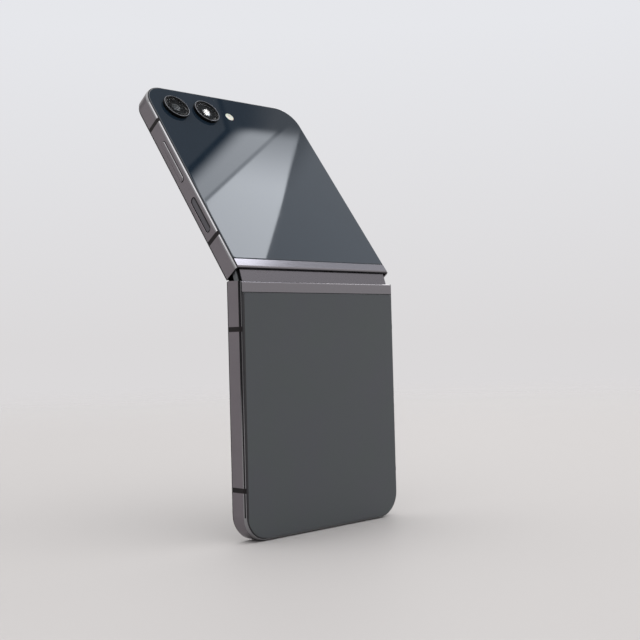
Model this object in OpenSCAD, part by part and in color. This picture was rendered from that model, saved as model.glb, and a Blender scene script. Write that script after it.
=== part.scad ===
// Foldable smartphone, half open: two flat halves on a twin-axis spine hinge.
// The lower half stands upright; the origin is the middle of its outer face, which lies in the plane y = 0.
// +X is right seen from the back glass, +Y goes through the phone to the folding screen, +Z is up.
// Pieces are drawn in plan: x across, u away from the fold line, d down from the outer face to the screen.

/* [Body] */
// Width across the side rails
body_w = 71.9; // [70:0.1:76]
// Length of each half, from the fold line to its free end
half_len = 82.55; // [81:0.05:88]
// Thickness of each half
half_t = 6.9; // [6.8:0.1:7.4]
// Radius of the outer corners in plan
corner_r = 8.6; // [7.5:0.1:10]
// Wall of the side rails
rail_wall = 1.9; // [1.7:0.1:2.1]
// Inset of the bevel along the rails' outer edge
bevel_in = 0.28; // [0.2:0.01:0.34]
// Depth of the same bevel down the rail's side
bevel_down = 0.9; // [0.5:0.05:1.2]
// Width of the rail's lip beside the glass
lip_w = 0.14; // [0.1:0.01:0.2]
// Depth of the lip below the glass
lip_down = 0.3; // [0.2:0.05:0.4]
// Chamfer along the rails' inner edge
inner_chamfer = 0.35; // [0.2:0.05:0.5]
// Thickness of the plate inside each frame
midplate_t = 0.6; // [0.5:0.05:0.7]
// Width of the plastic antenna bands
band_w = 1.2; // [0.8:0.1:1.8]
// Depth of the antenna bands into the rail
band_depth = 0.8; // [0.6:0.05:1.1]
// Bands of the lower half, one from the fold line and one from the free end
lower_bands = [15.7, 16.45];
// Bands of the upper half, one from the fold line and one from the free end
upper_bands = [15.0, 16.95];

/* [Glass and screens] */
// Thickness of the glass plates
glass_t = 0.6; // [0.5:0.05:0.65]
// Distance of the glass from the outer outline
glass_inset = 0.6; // [0.55:0.05:0.8]
// Radius of the glass's polished edge
glass_edge_r = 0.3; // [0.15:0.05:0.4]
// Distance from the fold line to the glass
glass_start = 4.15; // [4.12:0.01:4.6]
// Width of the sealing gasket under the glass
gasket_w = 1.1; // [0.8:0.1:1.2]
// Thickness of the folding screen
screen_t = 0.5; // [0.4:0.05:0.52]
// Distance of the folding screen from the outer outline
screen_inset = 1.3; // [1.2:0.05:1.5]
// Length of screen on each side of the fold line that bends
bend_len = 6.7; // [6.6:0.1:7.5]
// Thickness of the raised bezel round the folding screen
bezel_t = 0.45; // [0.4:0.05:0.5]
// Width of that bezel
bezel_w = 2.3; // [2:0.1:3]
// Height of the rubber stops on the bezel
stop_h = 0.6; // [0.3:0.05:0.62]
// Radius of those stops
stop_r = 0.6; // [0.4:0.05:0.9]
// Thickness of the cover screen's panel
cover_panel_t = 0.6; // [0.4:0.05:0.7]

/* [Hinge] */
// Fold angle of each half at rest, 0 when flat and 90 when shut
rest_fold = 18; // [0:1:30]
// Distance of each fold axis from the fold line
axis_u = 2.05; // [2.02:0.01:2.1]
// Depth of the fold axes below the bezel's face
axis_n = 1.4; // [1.38:0.01:1.42]
// Outer radius of the spine about each fold axis
spine_r = 4.5; // [4.48:0.01:4.55]
// Wall of the spine cover
spine_wall = 0.5; // [0.45:0.05:0.52]
// Thickness of the end caps of the spine
cap_t = 0.5; // [0.4:0.05:0.8]
// Thickness of the rail skins that hide the spine's ends
skin_t = 0.6; // [0.45:0.05:0.65]
// Distance from the fold line to the hinge strips' edges
strip_start = 0.6; // [0.5:0.05:0.8]
// Thickness of the hinge strips
strip_t = 0.8; // [0.7:0.05:0.82]
// Radius of the hinge strips' rounded edge
strip_r = 0.4; // [0.2:0.05:0.5]
// Distance of each hinge module from the middle
module_x = 15.5; // [12:0.5:18]
// Width of the guided part of a hinge arm
guide_w = 2; // [1.6:0.1:2.6]
// Face width of the synchronising gears
gear_w = 1.2; // [1:0.1:1.5]
// Thickness of the bearing plates between gears
plate_t = 0.6; // [0.5:0.05:0.8]
// Outer radius of the hinge arms' arc
arc_out = 3.45; // [3.4:0.01:3.48]
// Inner radius of the hinge arms' arc
arc_in = 2.7; // [2.68:0.01:2.8]
// Gear module
gear_m = 0.2; // [0.2:0.001:0.202]
// Radius of the gears' shafts
shaft_r = 0.3; // [0.25:0.01:0.31]

/* [Keys and tray] */
// Proud height of the volume key
volume_proud = 0.35; // [0.2:0.05:0.5]
// Length of the volume key
volume_len = 17.6; // [14:0.1:19]
// Distance from the fold line to the volume key's middle
volume_u = 48.8; // [47:0.1:50]
// Width of the volume key
volume_w = 1.9; // [1.6:0.1:2.2]
// Depth of the side key below the rail
power_sunk = 0.25; // [0.1:0.05:0.4]
// Length of the side key
power_len = 14.2; // [12:0.1:15]
// Distance from the fold line to the side key's middle
power_u = 25.2; // [24.5:0.1:27]
// Width of the side key
power_w = 2.5; // [2:0.1:2.7]
// Inward travel of the keys
key_travel = 0.25; // [0.15:0.05:0.3]
// Length of the card tray's cap
tray_len = 15; // [14:0.1:17]
// Distance from the fold line to the card tray's middle
tray_u = 52; // [50:0.1:54]
// Reach of the card tray into the body
tray_reach = 14; // [12:0.5:15]

/* [Cameras] */
// Distance of the cameras from the free end
camera_end = 10.25; // [9.5:0.05:11]
// Distance of the outer camera from the side
camera_side = 10.45; // [9.5:0.05:11]
// Spacing of the two cameras
camera_pitch = 13.4; // [11:0.1:14.5]
// Outer radius of the camera rings
ring_r = 5; // [4.8:0.05:5.2]
// Height of the camera rings above the glass
ring_h = 1.2; // [0.8:0.1:2]
// Radius of the lens windows
lens_r = 4.05; // [3.8:0.05:4.1]
// Distance of the flash from the inner camera
flash_pitch = 11.2; // [8:0.1:12]
// Radius of the flash window
flash_r = 1.7; // [1.3:0.1:1.9]
// Radius of the selfie camera's window
selfie_r = 1.7; // [1.4:0.1:1.9]

/* [Inside] */
// Length of the bottom board
bottom_board_len = 14; // [12:0.1:16]
// Length of the main board
main_board_len = 32.8; // [28:0.1:36]
// Space beside the batteries, out to the side
battery_side = 6.95; // [6.8:0.05:8]
// Space beside the main board, out to the side with the card tray
board_side = 6; // [5.8:0.1:7]
// Thickness of the printed circuit boards
board_t = 0.7; // [0.6:0.05:0.8]
// Width of the plug opening
usb_w = 8.94; // [8.9:0.01:9]
// Height of the plug opening
usb_h = 3.2; // [3.1:0.05:3.26]
// Length of the plug socket
usb_len = 8; // [7:0.1:9]
// Wall of the plug socket
usb_wall = 0.3; // [0.2:0.05:0.35]
// Width of the plug's tongue
usb_tongue_w = 6.7; // [6.6:0.05:6.8]
// Thickness of the plug's tongue
usb_tongue_t = 0.7; // [0.6:0.05:0.75]
// Number of speaker holes
speaker_holes = 5; // [3:1:6]
// Radius of the speaker holes
speaker_hole_r = 0.5; // [0.35:0.05:0.7]
// Spacing of the speaker holes
speaker_pitch = 1.9; // [1.8:0.1:2.2]
// Outer radius of the charging coil
coil_r = 19; // [15:0.5:20]
// Radius of the screw shanks
screw_r = 0.5; // [0.4:0.05:0.55]
// Radius of the screw heads
screw_head_r = 1; // [0.9:0.05:1.1]

/* [Hidden] */

$fn = 64;
half_w = body_w / 2;
eps = 0.05;              // overlap of shapes that become one solid
past = 1;                // how far a cut runs past its face
fit = 0.05;              // clearance of pieces that sit beside each other
run = 0.1;               // clearance of pieces that slide
shaft_gap = 0.03;        // radial clearance of the gear shafts
glue = 0.05;             // space filled by adhesive film
slack = 0.5;             // loose space between pieces inside
spacing = 1;             // the same where there is room
band_fit = 0.02;         // clearance of the moulded bands
screw_edge = 2;          // distance of a screw from a board's edge
screw_head_t = 0.5;      // height of the board screws' heads
flush_head_t = 0.25;     // height of the hinge screws' heads

// Depths through a half
gasket_t = 0.15;
seat_d = glass_t + gasket_t;
lip_in = bevel_in + lip_w;
rail_top = half_t - bezel_t;
screen_front = rail_top - glue;
screen_back = screen_front - screen_t;
mid_top = screen_back - midplate_t;
centre_d = half_t / 2;
axis_d = half_t - axis_n;

// Hinge space in each half
spine_gap = 0.35;        // running space around the spine
pocket_u = axis_u + spine_r + spine_gap;
flange_t = 0.55;
flange_d = seat_d + flange_t;
flange_u = pocket_u + 0.3;
cross_wall_t = 1;
wall_u = pocket_u + cross_wall_t;
foot_len = 5.3;          // length of the arms' feet
seat_u = pocket_u + foot_len;
rail_start = 0.25;       // set-back of the rails at the depth of the fold axes
inner_setback = 0.7;     // the same at the bezel's face
spine_half_len = half_w - skin_t - run - fit;
cover_edge_d = axis_d - run;
tongue_top = screen_back - fit;
inner_half_w = half_w - rail_wall;

// Hinge module, stations across the body
wall_t = 0.8;
guide_x = module_x + wall_t;
tooth_x = guide_x + guide_w;
plate_x = tooth_x + gear_w + fit;
mid_gear_x = plate_x + plate_t;
plate2_x = mid_gear_x + gear_w + fit;
tooth2_x = plate2_x + plate_t;
guide2_x = tooth2_x + gear_w + fit;
wall2_x = guide2_x + guide_w;
module_end = wall2_x + wall_t;

// Gear train: an inside-toothed arc on each arm drives a row of four gears
gear_teeth = 8;
arc_teeth = 28;
backlash = 0.05;
addendum = 0.8 * gear_m;
dedendum = 1.05 * gear_m;
flank = 22;              // flank angle of the teeth
gear_r = gear_m * gear_teeth / 2;
arc_pitch_r = gear_m * arc_teeth / 2;
gear_tip_r = gear_r + addendum;
gear_s = [-3 * gear_r, -gear_r, gear_r, 3 * gear_r];
mesh_r = arc_pitch_r - gear_r;
gear_rel = 3 * gear_r - axis_u;
gear_drop = sqrt(mesh_r * mesh_r - gear_rel * gear_rel);
gear_d = axis_d - gear_drop;
tooth_step = 360 / gear_teeth;
trough_s = 1.6;          // half width of the trough that the folded screen drops into
trough_d = gear_d + gear_tip_r + run;
gear_root_r = gear_r - dedendum;

module about_axis(u, angle) {
    translate([0, axis_d, u]) rotate([-angle, 0, 0]) translate([0, -axis_d, -u]) children();
}

// Places plan shapes on the lower half, the spine and the upper half
module stand() {
    translate([0, 0, half_len / 2]) children();
}

module on_lower() {
    stand() mirror([0, 0, 1]) mirror([0, 1, -1]) children();
}

module on_spine() {
    stand() about_axis(-axis_u, rest_fold) mirror([0, 1, -1]) children();
}

module on_upper() {
    stand() about_axis(-axis_u, rest_fold) about_axis(axis_u, rest_fold) mirror([0, 1, -1]) children();
}

// Extrudes a profile drawn in u and d across the body
module along_x(from, to) {
    translate([from, 0, 0]) rotate([90, 0, 90]) linear_extrude(to - from) children();
}

module both_sides() {
    children();
    mirror([1, 0, 0]) children();
}

// Sweeps a section round the two sides and the free end, x = 0 on the outer outline
module rim(start) {
    straight = half_len - corner_r;
    corner_x = half_w - corner_r;
    both_sides() {
        translate([half_w, straight, 0]) rotate([90, 0, 0]) linear_extrude(straight - start) children();
        translate([corner_x, straight, 0]) rotate_extrude(angle = 90) translate([corner_r, 0]) children();
    }
    translate([-corner_x, half_len, 0]) rotate([0, 0, 90]) rotate([90, 0, 0])
        linear_extrude(2 * corner_x) children();
}

// Flat outline of a half, inset from the outer one
module outline(inset, start) {
    w = half_w - inset;
    r = corner_r - inset;
    corner_x = half_w - corner_r;
    translate([-w, start]) square([2 * w, half_len - corner_r - start]);
    translate([-corner_x, start]) square([2 * corner_x, half_len - inset - start]);
    for (side = [-1, 1]) translate([side * corner_x, half_len - corner_r]) circle(r);
}

module slab(from, to) {
    translate([0, 0, from]) linear_extrude(to - from) children();
}

module block(x, u, d, size) {
    translate([x, u, d]) cube(size);
}

module pill(length, width) {
    for (end = [-1, 1]) translate([end * (length - width) / 2, 0]) circle(width / 2);
    translate([-(length - width) / 2, -width / 2]) square([length - width, width]);
}

module rail_section() {
    polygon([[-rail_wall, seat_d], [-lip_in, seat_d], [-lip_in, lip_down], [-bevel_in, lip_down],
        [0, lip_down + bevel_down], [0, rail_top - inner_chamfer], [-inner_chamfer, rail_top],
        [-screen_inset + fit, rail_top], [-screen_inset + fit, screen_back], [-rail_wall, screen_back]]);
}

// What is cut from the hinge end so that the halves clear each other as they fold
module fold_relief() {
    below = half_t + past;
    along_x(-half_w - past, half_w + past) polygon([[-past, -past], [strip_start, -past], [strip_start, 0],
        [rail_start, axis_d], [inner_setback, half_t], [inner_setback, below], [-past, below]]);
}

module frame_body() {
    difference() {
        union() {
            rim(0) rail_section();
            slab(mid_top, screen_back) outline(rail_wall - eps, seat_u);
            block(-inner_half_w - eps, pocket_u, flange_d, [2 * (inner_half_w + eps), wall_u - pocket_u,
                mid_top - flange_d]);
            block(-inner_half_w - eps, pocket_u, mid_top - midplate_t, [2 * (inner_half_w + eps),
                seat_u + midplate_t - pocket_u, midplate_t]);
        }
        fold_relief();
        block(-half_w + skin_t, -past, -past, [2 * (half_w - skin_t), pocket_u + past, half_t + 2 * past]);
        block(-flex_w / 2 - run, pocket_u - past, flex_d - run, [flex_w + 2 * run,
            seat_u + 3 * past - pocket_u, mid_top - flex_d + run + eps]);
        screw_bores(hinge_screw_spots(), screw_r, half_t);
    }
}

module band_slots(places, clearance) {
    for (u = [places[0], half_len - places[1]]) both_sides()
        translate([half_w, u + band_w / 2 + clearance, 0]) rotate([90, 0, 0])
            linear_extrude(band_w + 2 * clearance) intersection() {
                rail_section();
                translate([-band_depth - clearance, -past]) square([band_depth + past, half_t + 2 * past]);
            }
}

module screw_bores(spots, r, top) {
    for (p = spots) translate([p[0], p[1], -past]) cylinder(r = r, h = top + 2 * past);
}

function hinge_screw_spots() = [for (side = [-1, 1], x = [guide_x + guide_w / 2, guide2_x + guide_w / 2])
    [side * x, wall_u + screw_edge]];

function usb_board_spots() =
    [for (x = [-usb_board_w / 2 + screw_edge, speaker_notch_x - screw_edge]) [x, usb_u + screw_edge]];

// A pan-head screw hanging from the board's face down to the plate's far side
module board_screws(spots, head_d) {
    for (p = spots) translate([p[0], p[1], head_d - screw_head_t]) {
        cylinder(r = screw_head_r, h = screw_head_t);
        cylinder(r = screw_r - fit, h = screen_back - head_d + screw_head_t - fit);
    }
}

module hinge_screw_bores() {
    screw_bores(hinge_screw_spots(), screw_r, half_t);
    for (p = hinge_screw_spots()) translate([p[0], p[1], 0]) slab(tongue_top - flush_head_t - fit, half_t)
        circle(screw_head_r);
}

module hinge_screws() {
    for (p = hinge_screw_spots()) translate([p[0], p[1], 0]) {
        slab(tongue_top - flush_head_t, tongue_top) circle(screw_head_r - fit);
        slab(mid_top - midplate_t, tongue_top) circle(screw_r - fit);
    }
}

module glass_plate() {
    slab(glass_edge_r, glass_t) outline(glass_inset, glass_start);
    slab(0, glass_t) outline(glass_inset + glass_edge_r, glass_start);
    intersection() {
        rim(glass_start) translate([-glass_inset - glass_edge_r, glass_edge_r]) circle(glass_edge_r);
        slab(0, glass_t) outline(0, glass_start);
    }
}

module gasket() {
    slab(glass_t, seat_d) difference() {
        outline(glass_inset, glass_start);
        translate([0, glass_start + gasket_w]) square([3 * body_w, 2 * half_len], center = true);
    }
    slab(glass_t, seat_d) difference() {
        outline(glass_inset, glass_start);
        outline(glass_inset + gasket_w, glass_start + gasket_w);
    }
}

// Strip of metal between the glass and the spine, with a flange under the glass
module hinge_strip() {
    arc = [for (i = [0:6]) strip_r * [1 - cos(15 * i), 1 - sin(15 * i)] + [strip_start, 0]];
    end = half_w - glass_inset;
    step = 0.6;
    along_x(-end, end) polygon(concat(arc, [[glass_start - run, 0], [glass_start - run, seat_d],
        [pocket_u - fit, seat_d], [pocket_u - fit, flange_d], [glass_start, flange_d],
        [glass_start - step, strip_t], [strip_start, strip_t]]));
    block(-inner_half_w + fit, pocket_u - fit - eps, seat_d,
        [2 * (inner_half_w - fit), flange_u - pocket_u + eps, flange_t]);
}

module bezel() {
    out = bevel_in + fit;
    soft = 0.15;
    difference() {
        rim(0) polygon([[-out - bezel_w, rail_top], [-out, rail_top], [-out, half_t - soft],
            [-out - soft, half_t], [-out - bezel_w + soft, half_t], [-out - bezel_w, half_t - soft]]);
        fold_relief();
    }
}

module screen_panel() {
    slab(screen_back, screen_front) outline(screen_inset, bend_len + fit);
}

// Feet of the two arms of one half; guide is the near edge of its guided part
module arm_feet(lower, clearance) {
    for (side = [-1, 1]) {
        near = lower ? guide_x : guide2_x;
        x = side > 0 ? near - clearance + run : -near - guide_w - clearance + run;
        block(x, pocket_u, mid_top - clearance, [guide_w - 2 * run + 2 * clearance,
            seat_u - pocket_u - run + clearance, tongue_top - mid_top + 2 * clearance]);
    }
}

module hinge_plate(lower) {
    difference() {
        block(-inner_half_w + run, pocket_u, mid_top, [2 * (inner_half_w - run), seat_u - pocket_u - fit,
            tongue_top - mid_top]);
        arm_feet(lower, fit);
        hinge_screw_bores();
        block(-half_w, pocket_u - past, screen_back, [body_w, seat_u, past]);
    }
}

module gear_outline(teeth, tip, root, shift) {
    r = gear_m * teeth / 2;
    half_thick = PI * gear_m / 4 + shift;
    step = 360 / teeth;
    function wide(radius) = (half_thick - (radius - r) * tan(flank)) / radius * 180 / PI;
    polygon([for (i = [0:teeth - 1], e = [[root, -1], [tip, -1], [tip, 1], [root, 1]])
        let (at = i * step + e[1] * wide(e[0])) e[0] * [cos(at), sin(at)]]);
}

// Teeth of an arm are set so that they mesh at the rest fold
function arc_phase(lower) =
    let (side = lower ? -1 : 1,
        mesh = atan2(-gear_drop, side * gear_rel),
        start = lower ? 0 : tooth_step / 2,
        off = mesh - start - tooth_step * round((mesh - start) / tooth_step),
        spine_angle = mesh - off * gear_teeth / arc_teeth)
    lower ? 180 - spine_angle - rest_fold : spine_angle - rest_fold;

module arc_clip() {
    translate([0, -arc_out - past]) square([arc_out + past, arc_out + past + tongue_top - axis_d]);
    translate([-arc_out - past, -arc_out - past]) square([arc_out + 2 * past, arc_out + past - run]);
}

module arm(lower) {
    near = lower ? guide_x : guide2_x;
    tooth_from = lower ? tooth_x - run - eps : tooth2_x + fit;
    tooth_to = lower ? plate_x - fit : guide2_x + run + eps;
    along_x(near + run, near + guide_w - run) translate([axis_u, axis_d]) intersection() {
        difference() {
            circle(arc_out);
            circle(arc_in);
        }
        arc_clip();
    }
    along_x(tooth_from, tooth_to) translate([axis_u, axis_d]) intersection() {
        difference() {
            circle(arc_out);
            rotate(arc_phase(lower)) gear_outline(arc_teeth, arc_pitch_r + dedendum, arc_pitch_r - addendum,
                backlash / 2);
        }
        arc_clip();
    }
    block(near + run, axis_u + (arc_in + arc_out) / 2, axis_d, [guide_w - 2 * run,
        pocket_u + eps - axis_u - (arc_in + arc_out) / 2, tongue_top - axis_d]);
}

module hinge_arms(lower) {
    difference() {
        union() {
            both_sides() arm(lower);
            arm_feet(lower, 0);
        }
        hinge_screw_bores();
    }
}

// Half stadium about the two fold axes
module stadium(r, top) {
    intersection() {
        union() {
            for (side = [-1, 1]) translate([side * axis_u, axis_d]) circle(r);
            translate([-axis_u, axis_d - r]) square([2 * axis_u, 2 * r]);
        }
        translate([-2 * spine_r, axis_d - 2 * spine_r]) square([4 * spine_r, 2 * spine_r + top - axis_d]);
    }
}

module bracket_profile() {
    difference() {
        stadium(spine_r - spine_wall - fit, cover_edge_d);
        translate([-trough_s, trough_d]) square([2 * trough_s, half_t]);
    }
}

module shaft_holes() {
    for (s = gear_s) translate([s, gear_d]) circle(shaft_r + shaft_gap);
}

module groove(side) {
    translate([side * axis_u, axis_d]) difference() {
        circle(arc_out + fit);
        circle(arc_in - fit);
    }
}

module bracket() {
    space = gear_tip_r + run;
    along_x(module_x, guide_x) bracket_profile();
    along_x(guide_x, tooth_x) difference() {
        bracket_profile();
        groove(-1);
        translate([gear_s[0], gear_d]) circle(shaft_r + shaft_gap);
    }
    along_x(tooth_x, plate_x) difference() {
        bracket_profile();
        translate([-axis_u, axis_d]) circle(arc_out + fit);
    }
    for (x = [plate_x, plate2_x]) along_x(x, x + plate_t) difference() {
        bracket_profile();
        shaft_holes();
    }
    along_x(mid_gear_x, plate2_x) difference() {
        bracket_profile();
        for (s = gear_s) translate([s, gear_d]) circle(space);
        translate([gear_s[0] - space, gear_d]) square([2 * (space - gear_s[0]), half_t]);
    }
    along_x(tooth2_x, guide2_x) difference() {
        bracket_profile();
        translate([axis_u, axis_d]) circle(arc_out + fit);
    }
    along_x(guide2_x, wall2_x) difference() {
        bracket_profile();
        groove(1);
        translate([gear_s[3], gear_d]) circle(shaft_r + shaft_gap);
    }
    along_x(wall2_x, module_end) bracket_profile();
}

// Toothed wheel number i of the row, with its shaft
module sync_gear(i) {
    phase = i % 2 == 0 ? 0 : tooth_step / 2;
    shaft_from = i == 0 ? tooth_x - guide_w / 2 : plate_x + fit;
    shaft_to = i == 3 ? guide2_x + guide_w / 2 : plate2_x + plate_t - fit;
    translate([0, gear_s[i], gear_d]) {
        along_x(mid_gear_x + fit, plate2_x - fit) rotate(phase)
            gear_outline(gear_teeth, gear_tip_r, gear_root_r, -backlash / 2);
        along_x(shaft_from, shaft_to) circle(shaft_r);
        if (i == 0) along_x(tooth_x + fit, plate_x - fit) rotate(phase)
            gear_outline(gear_teeth, gear_tip_r, gear_root_r, -backlash / 2);
        if (i == 3) along_x(tooth2_x + fit, guide2_x - fit) rotate(phase)
            gear_outline(gear_teeth, gear_tip_r, gear_root_r, -backlash / 2);
    }
}

// A layer at depth d that follows the fold, from one half's bend_len to the other's
function layer(d, reach) =
    let (rise = d - axis_d,
        s = -axis_u - (reach - axis_u) * cos(rest_fold) + rise * sin(rest_fold),
        z = axis_d + (reach - axis_u) * sin(rest_fold) + rise * cos(rest_fold),
        mitre = -axis_u + rise * tan(rest_fold / 2))
    [[s, z], [mitre, d], [-mitre, d], [-s, z]];

module folded_layer(front, back, reach, width) {
    far = layer(back, reach);
    along_x(-width / 2, width / 2) polygon(concat(layer(front, reach), [for (i = [3:-1:0]) far[i]]));
}

flex_w = 12;
flex_t = 0.15;
flex_d = mid_top - flex_t - fit;
flex_start = pocket_u + slack;
caps_from = spine_half_len - cap_t;

module lower_frame() {
    color("#726e72") on_lower() difference() {
        frame_body();
        band_slots(lower_bands, band_fit);
        translate([0, half_len + past, centre_d]) rotate([90, 0, 0]) linear_extrude(rail_wall + 2 * past)
            pill(usb_w + 2 * fit, usb_h + 2 * fit);
        speaker_bores(half_len + past);
        translate([-speaker_x, half_len + past, centre_d]) rotate([90, 0, 0])
            cylinder(r = mic_r, h = rail_wall + 2 * past);
        screw_bores(usb_board_spots(), screw_r, half_t);
    }
}

module speaker_bores(from_u) {
    for (i = [0:speaker_holes - 1]) translate([speaker_x + i * speaker_pitch, from_u, centre_d])
        rotate([90, 0, 0]) cylinder(r = speaker_hole_r, h = rail_wall + 3 * past);
}

module lower_antenna_bands() {
    color("#3a3436") on_lower() band_slots(lower_bands, 0);
}

module lower_back_glass() {
    color("#53585a") on_lower() glass_plate();
}

module lower_glass_gasket() {
    color("#141416") on_lower() gasket();
}

module lower_hinge_strip() {
    color("#767277") on_lower() hinge_strip();
}

module lower_hinge_plate() {
    color("#8b8d90") on_lower() hinge_plate(true);
}

module lower_hinge_arms() {
    color("#9a9ca0") on_lower() hinge_arms(true);
}

coil_sheet_t = 0.25;
shield_d = seat_d + coil_sheet_t + glue;
battery_d = shield_d + coil_sheet_t + glue;
board_gap = 0.4;         // between a board and the rail
usb_board_end = half_len - rail_wall - board_gap;
usb_u = usb_board_end - bottom_board_len;
hinge_room = 7;          // between the arms' feet and the lower battery
board_room = 3;          // between that battery and the board
lower_battery_u = seat_u + hinge_room;
lower_battery_len = usb_u - board_room - lower_battery_u;
battery_w = body_w - 2 * battery_side;
coil_u = lower_battery_u + lower_battery_len / 2;
usb_board_w = 42;
board_d = mid_top - board_t;
speaker_x = 9.5;         // first speaker hole
speaker_side = 2.4;      // loudspeaker's side beyond that hole
speaker_w = 19;
speaker_gap = 0.6;       // between the board and the loudspeaker
speaker_notch_x = speaker_x - speaker_side - speaker_gap;
speaker_top = seat_d + slack;
mesh_space = 0.8;
mic_r = 0.4;
mic_size = [3, 2.4, 1];

module lower_battery() {
    color("#2b2c2f") on_lower() block(-battery_w / 2, lower_battery_u, battery_d, [battery_w,
        lower_battery_len, flex_d - glue - battery_d]);
}

module charging_coil() {
    color("#b5703c") on_lower() translate([0, coil_u, 0]) slab(seat_d, seat_d + coil_sheet_t) difference() {
        circle(coil_r);
        circle(coil_r / 2);
    }
}

module coil_shield() {
    side = 2 * (coil_r + spacing);
    color("#3d3f42") on_lower() block(-side / 2, coil_u - side / 2, shield_d, [side, side, coil_sheet_t]);
}

module usb_board() {
    color("#1d3b2c") on_lower() difference() {
        block(-usb_board_w / 2, usb_u, board_d, [usb_board_w, bottom_board_len, board_t - fit]);
        block(-usb_w / 2 - slack, half_len - usb_len - run, 0, [usb_w + 2 * slack, usb_len, half_t]);
        block(speaker_notch_x, usb_u - past, 0, [usb_board_w, half_len, half_t]);
        screw_bores(usb_board_spots(), screw_r, half_t);
    }
}

module usb_socket() {
    mouth = 0.3;             // set-back of the socket's mouth
    color("#8c8f93") on_lower() difference() {
        translate([0, half_len - mouth, centre_d]) rotate([90, 0, 0]) linear_extrude(usb_len - mouth)
            pill(usb_w, usb_h);
        translate([0, half_len + past, centre_d]) rotate([90, 0, 0])
            linear_extrude(usb_len + past - usb_wall) pill(usb_w - 2 * usb_wall, usb_h - 2 * usb_wall);
    }
}

module usb_tongue() {
    tongue_back = 2;         // how much shorter the tongue is than the socket
    color("#17181a") on_lower() block(-usb_tongue_w / 2, half_len - usb_len + usb_wall,
        centre_d - usb_tongue_t / 2, [usb_tongue_w, usb_len - tongue_back, usb_tongue_t]);
}

module loudspeaker() {
    color("#222326") on_lower() difference() {
        block(speaker_x - speaker_side, usb_u + spacing, speaker_top, [speaker_w,
            half_len - rail_wall - mesh_space - usb_u - spacing, mid_top - speaker_top]);
        speaker_bores(half_len);
    }
}

module speaker_mesh() {
    mesh_t = mesh_space / 2;
    color("#4a4b4e") on_lower() block(speaker_x - spacing, half_len - rail_wall - glue - mesh_t,
        centre_d - spacing, [(speaker_holes - 1) * speaker_pitch + 2 * spacing, mesh_t, 2 * spacing]);
}

module vibration_motor() {
    r = 1.9;
    color("#a5a7aa") on_lower() translate([-battery_w / 2, usb_u + 2 * r, mid_top - r]) rotate([0, 90, 0])
        cylinder(r = r, h = (battery_w - usb_board_w) / 2 - spacing);
}

module bottom_microphone() {
    color("#b9bbbd") on_lower() block(-speaker_x - mic_size[0] / 2,
        half_len - rail_wall - slack - mic_size[1], board_d - mic_size[2], mic_size);
}

// Flat cable under the plate of one half, from the folded cable's end to a board
module flex_strip(end_u) {
    start_u = flex_start + fit;
    block(-flex_w / 2, start_u, flex_d, [flex_w, end_u - start_u, flex_t]);
}

module lower_flex() {
    color("#c07a2c") on_lower() flex_strip(usb_u - fit);
}

module lower_screws() {
    color("#5b5d61") on_lower() {
        board_screws(usb_board_spots(), board_d);
        hinge_screws();
    }
}

magnet_w = 3;
magnet_len = 10;
magnet_t = 1.2;

module closure_magnets() {
    x = inner_half_w - magnet_w / 2 - slack;
    for (side = [-1, 1]) block(side * x - magnet_w / 2, half_len - 2.2 * magnet_len, mid_top - magnet_t,
        [magnet_w, magnet_len, magnet_t]);
}

module lower_magnets() {
    color("#b0b3b6") on_lower() closure_magnets();
}

module lower_screen() {
    color("#101216") on_lower() screen_panel();
}

module lower_bezel() {
    color("#1a1b1d") on_lower() bezel();
}

module bezel_stops() {
    x = half_w - bevel_in - bezel_w / 2;
    places = [2 * pocket_u, half_len / 2, half_len - 2 * corner_r];
    color("#26272a") on_lower() for (side = [-1, 1], u = places) translate([side * x, u, 0])
        slab(half_t, half_t + stop_h) circle(stop_r);
}

module spine_cover() {
    color("#737077") on_spine() difference() {
        along_x(-caps_from + fit, caps_from - fit) difference() {
            stadium(spine_r, cover_edge_d);
            stadium(spine_r - spine_wall, half_t);
        }
        block(-flex_w / 2 - slack, -2 * spine_r, flex_d - slack, [flex_w + 2 * slack, 4 * spine_r, half_t]);
    }
}

module spine_end_caps() {
    clear_r = sqrt(pow(axis_u - inner_setback, 2) + axis_n * axis_n) + run;
    color("#55565a") on_spine() both_sides() difference() {
        along_x(caps_from, spine_half_len) difference() {
            stadium(spine_r - fit, cover_edge_d);
            for (side = [-1, 1]) translate([side * axis_u, axis_d]) circle(clear_r);
            translate([-axis_u, axis_d - clear_r]) square([2 * axis_u, 2 * clear_r]);
        }
    }
}

module hinge_brackets() {
    color("#a3a5a8") on_spine() both_sides() bracket();
}

module screen_fold() {
    width = body_w - 2 * (bevel_in + fit + bezel_w + run);
    color("#101216") on_spine() folded_layer(screen_front, screen_back, bend_len, width);
}

module fold_flex() {
    color("#c07a2c") on_spine() folded_layer(flex_d + flex_t, flex_d, flex_start, flex_w);
}

module lower_shaft_gears() {
    color("#c2a35a") on_spine() both_sides() sync_gear(0);
}

module lower_idler_gears() {
    color("#b89a55") on_spine() both_sides() sync_gear(1);
}

module upper_idler_gears() {
    color("#c2a35a") on_spine() both_sides() sync_gear(2);
}

module upper_shaft_gears() {
    color("#b89a55") on_spine() both_sides() sync_gear(3);
}

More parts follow.
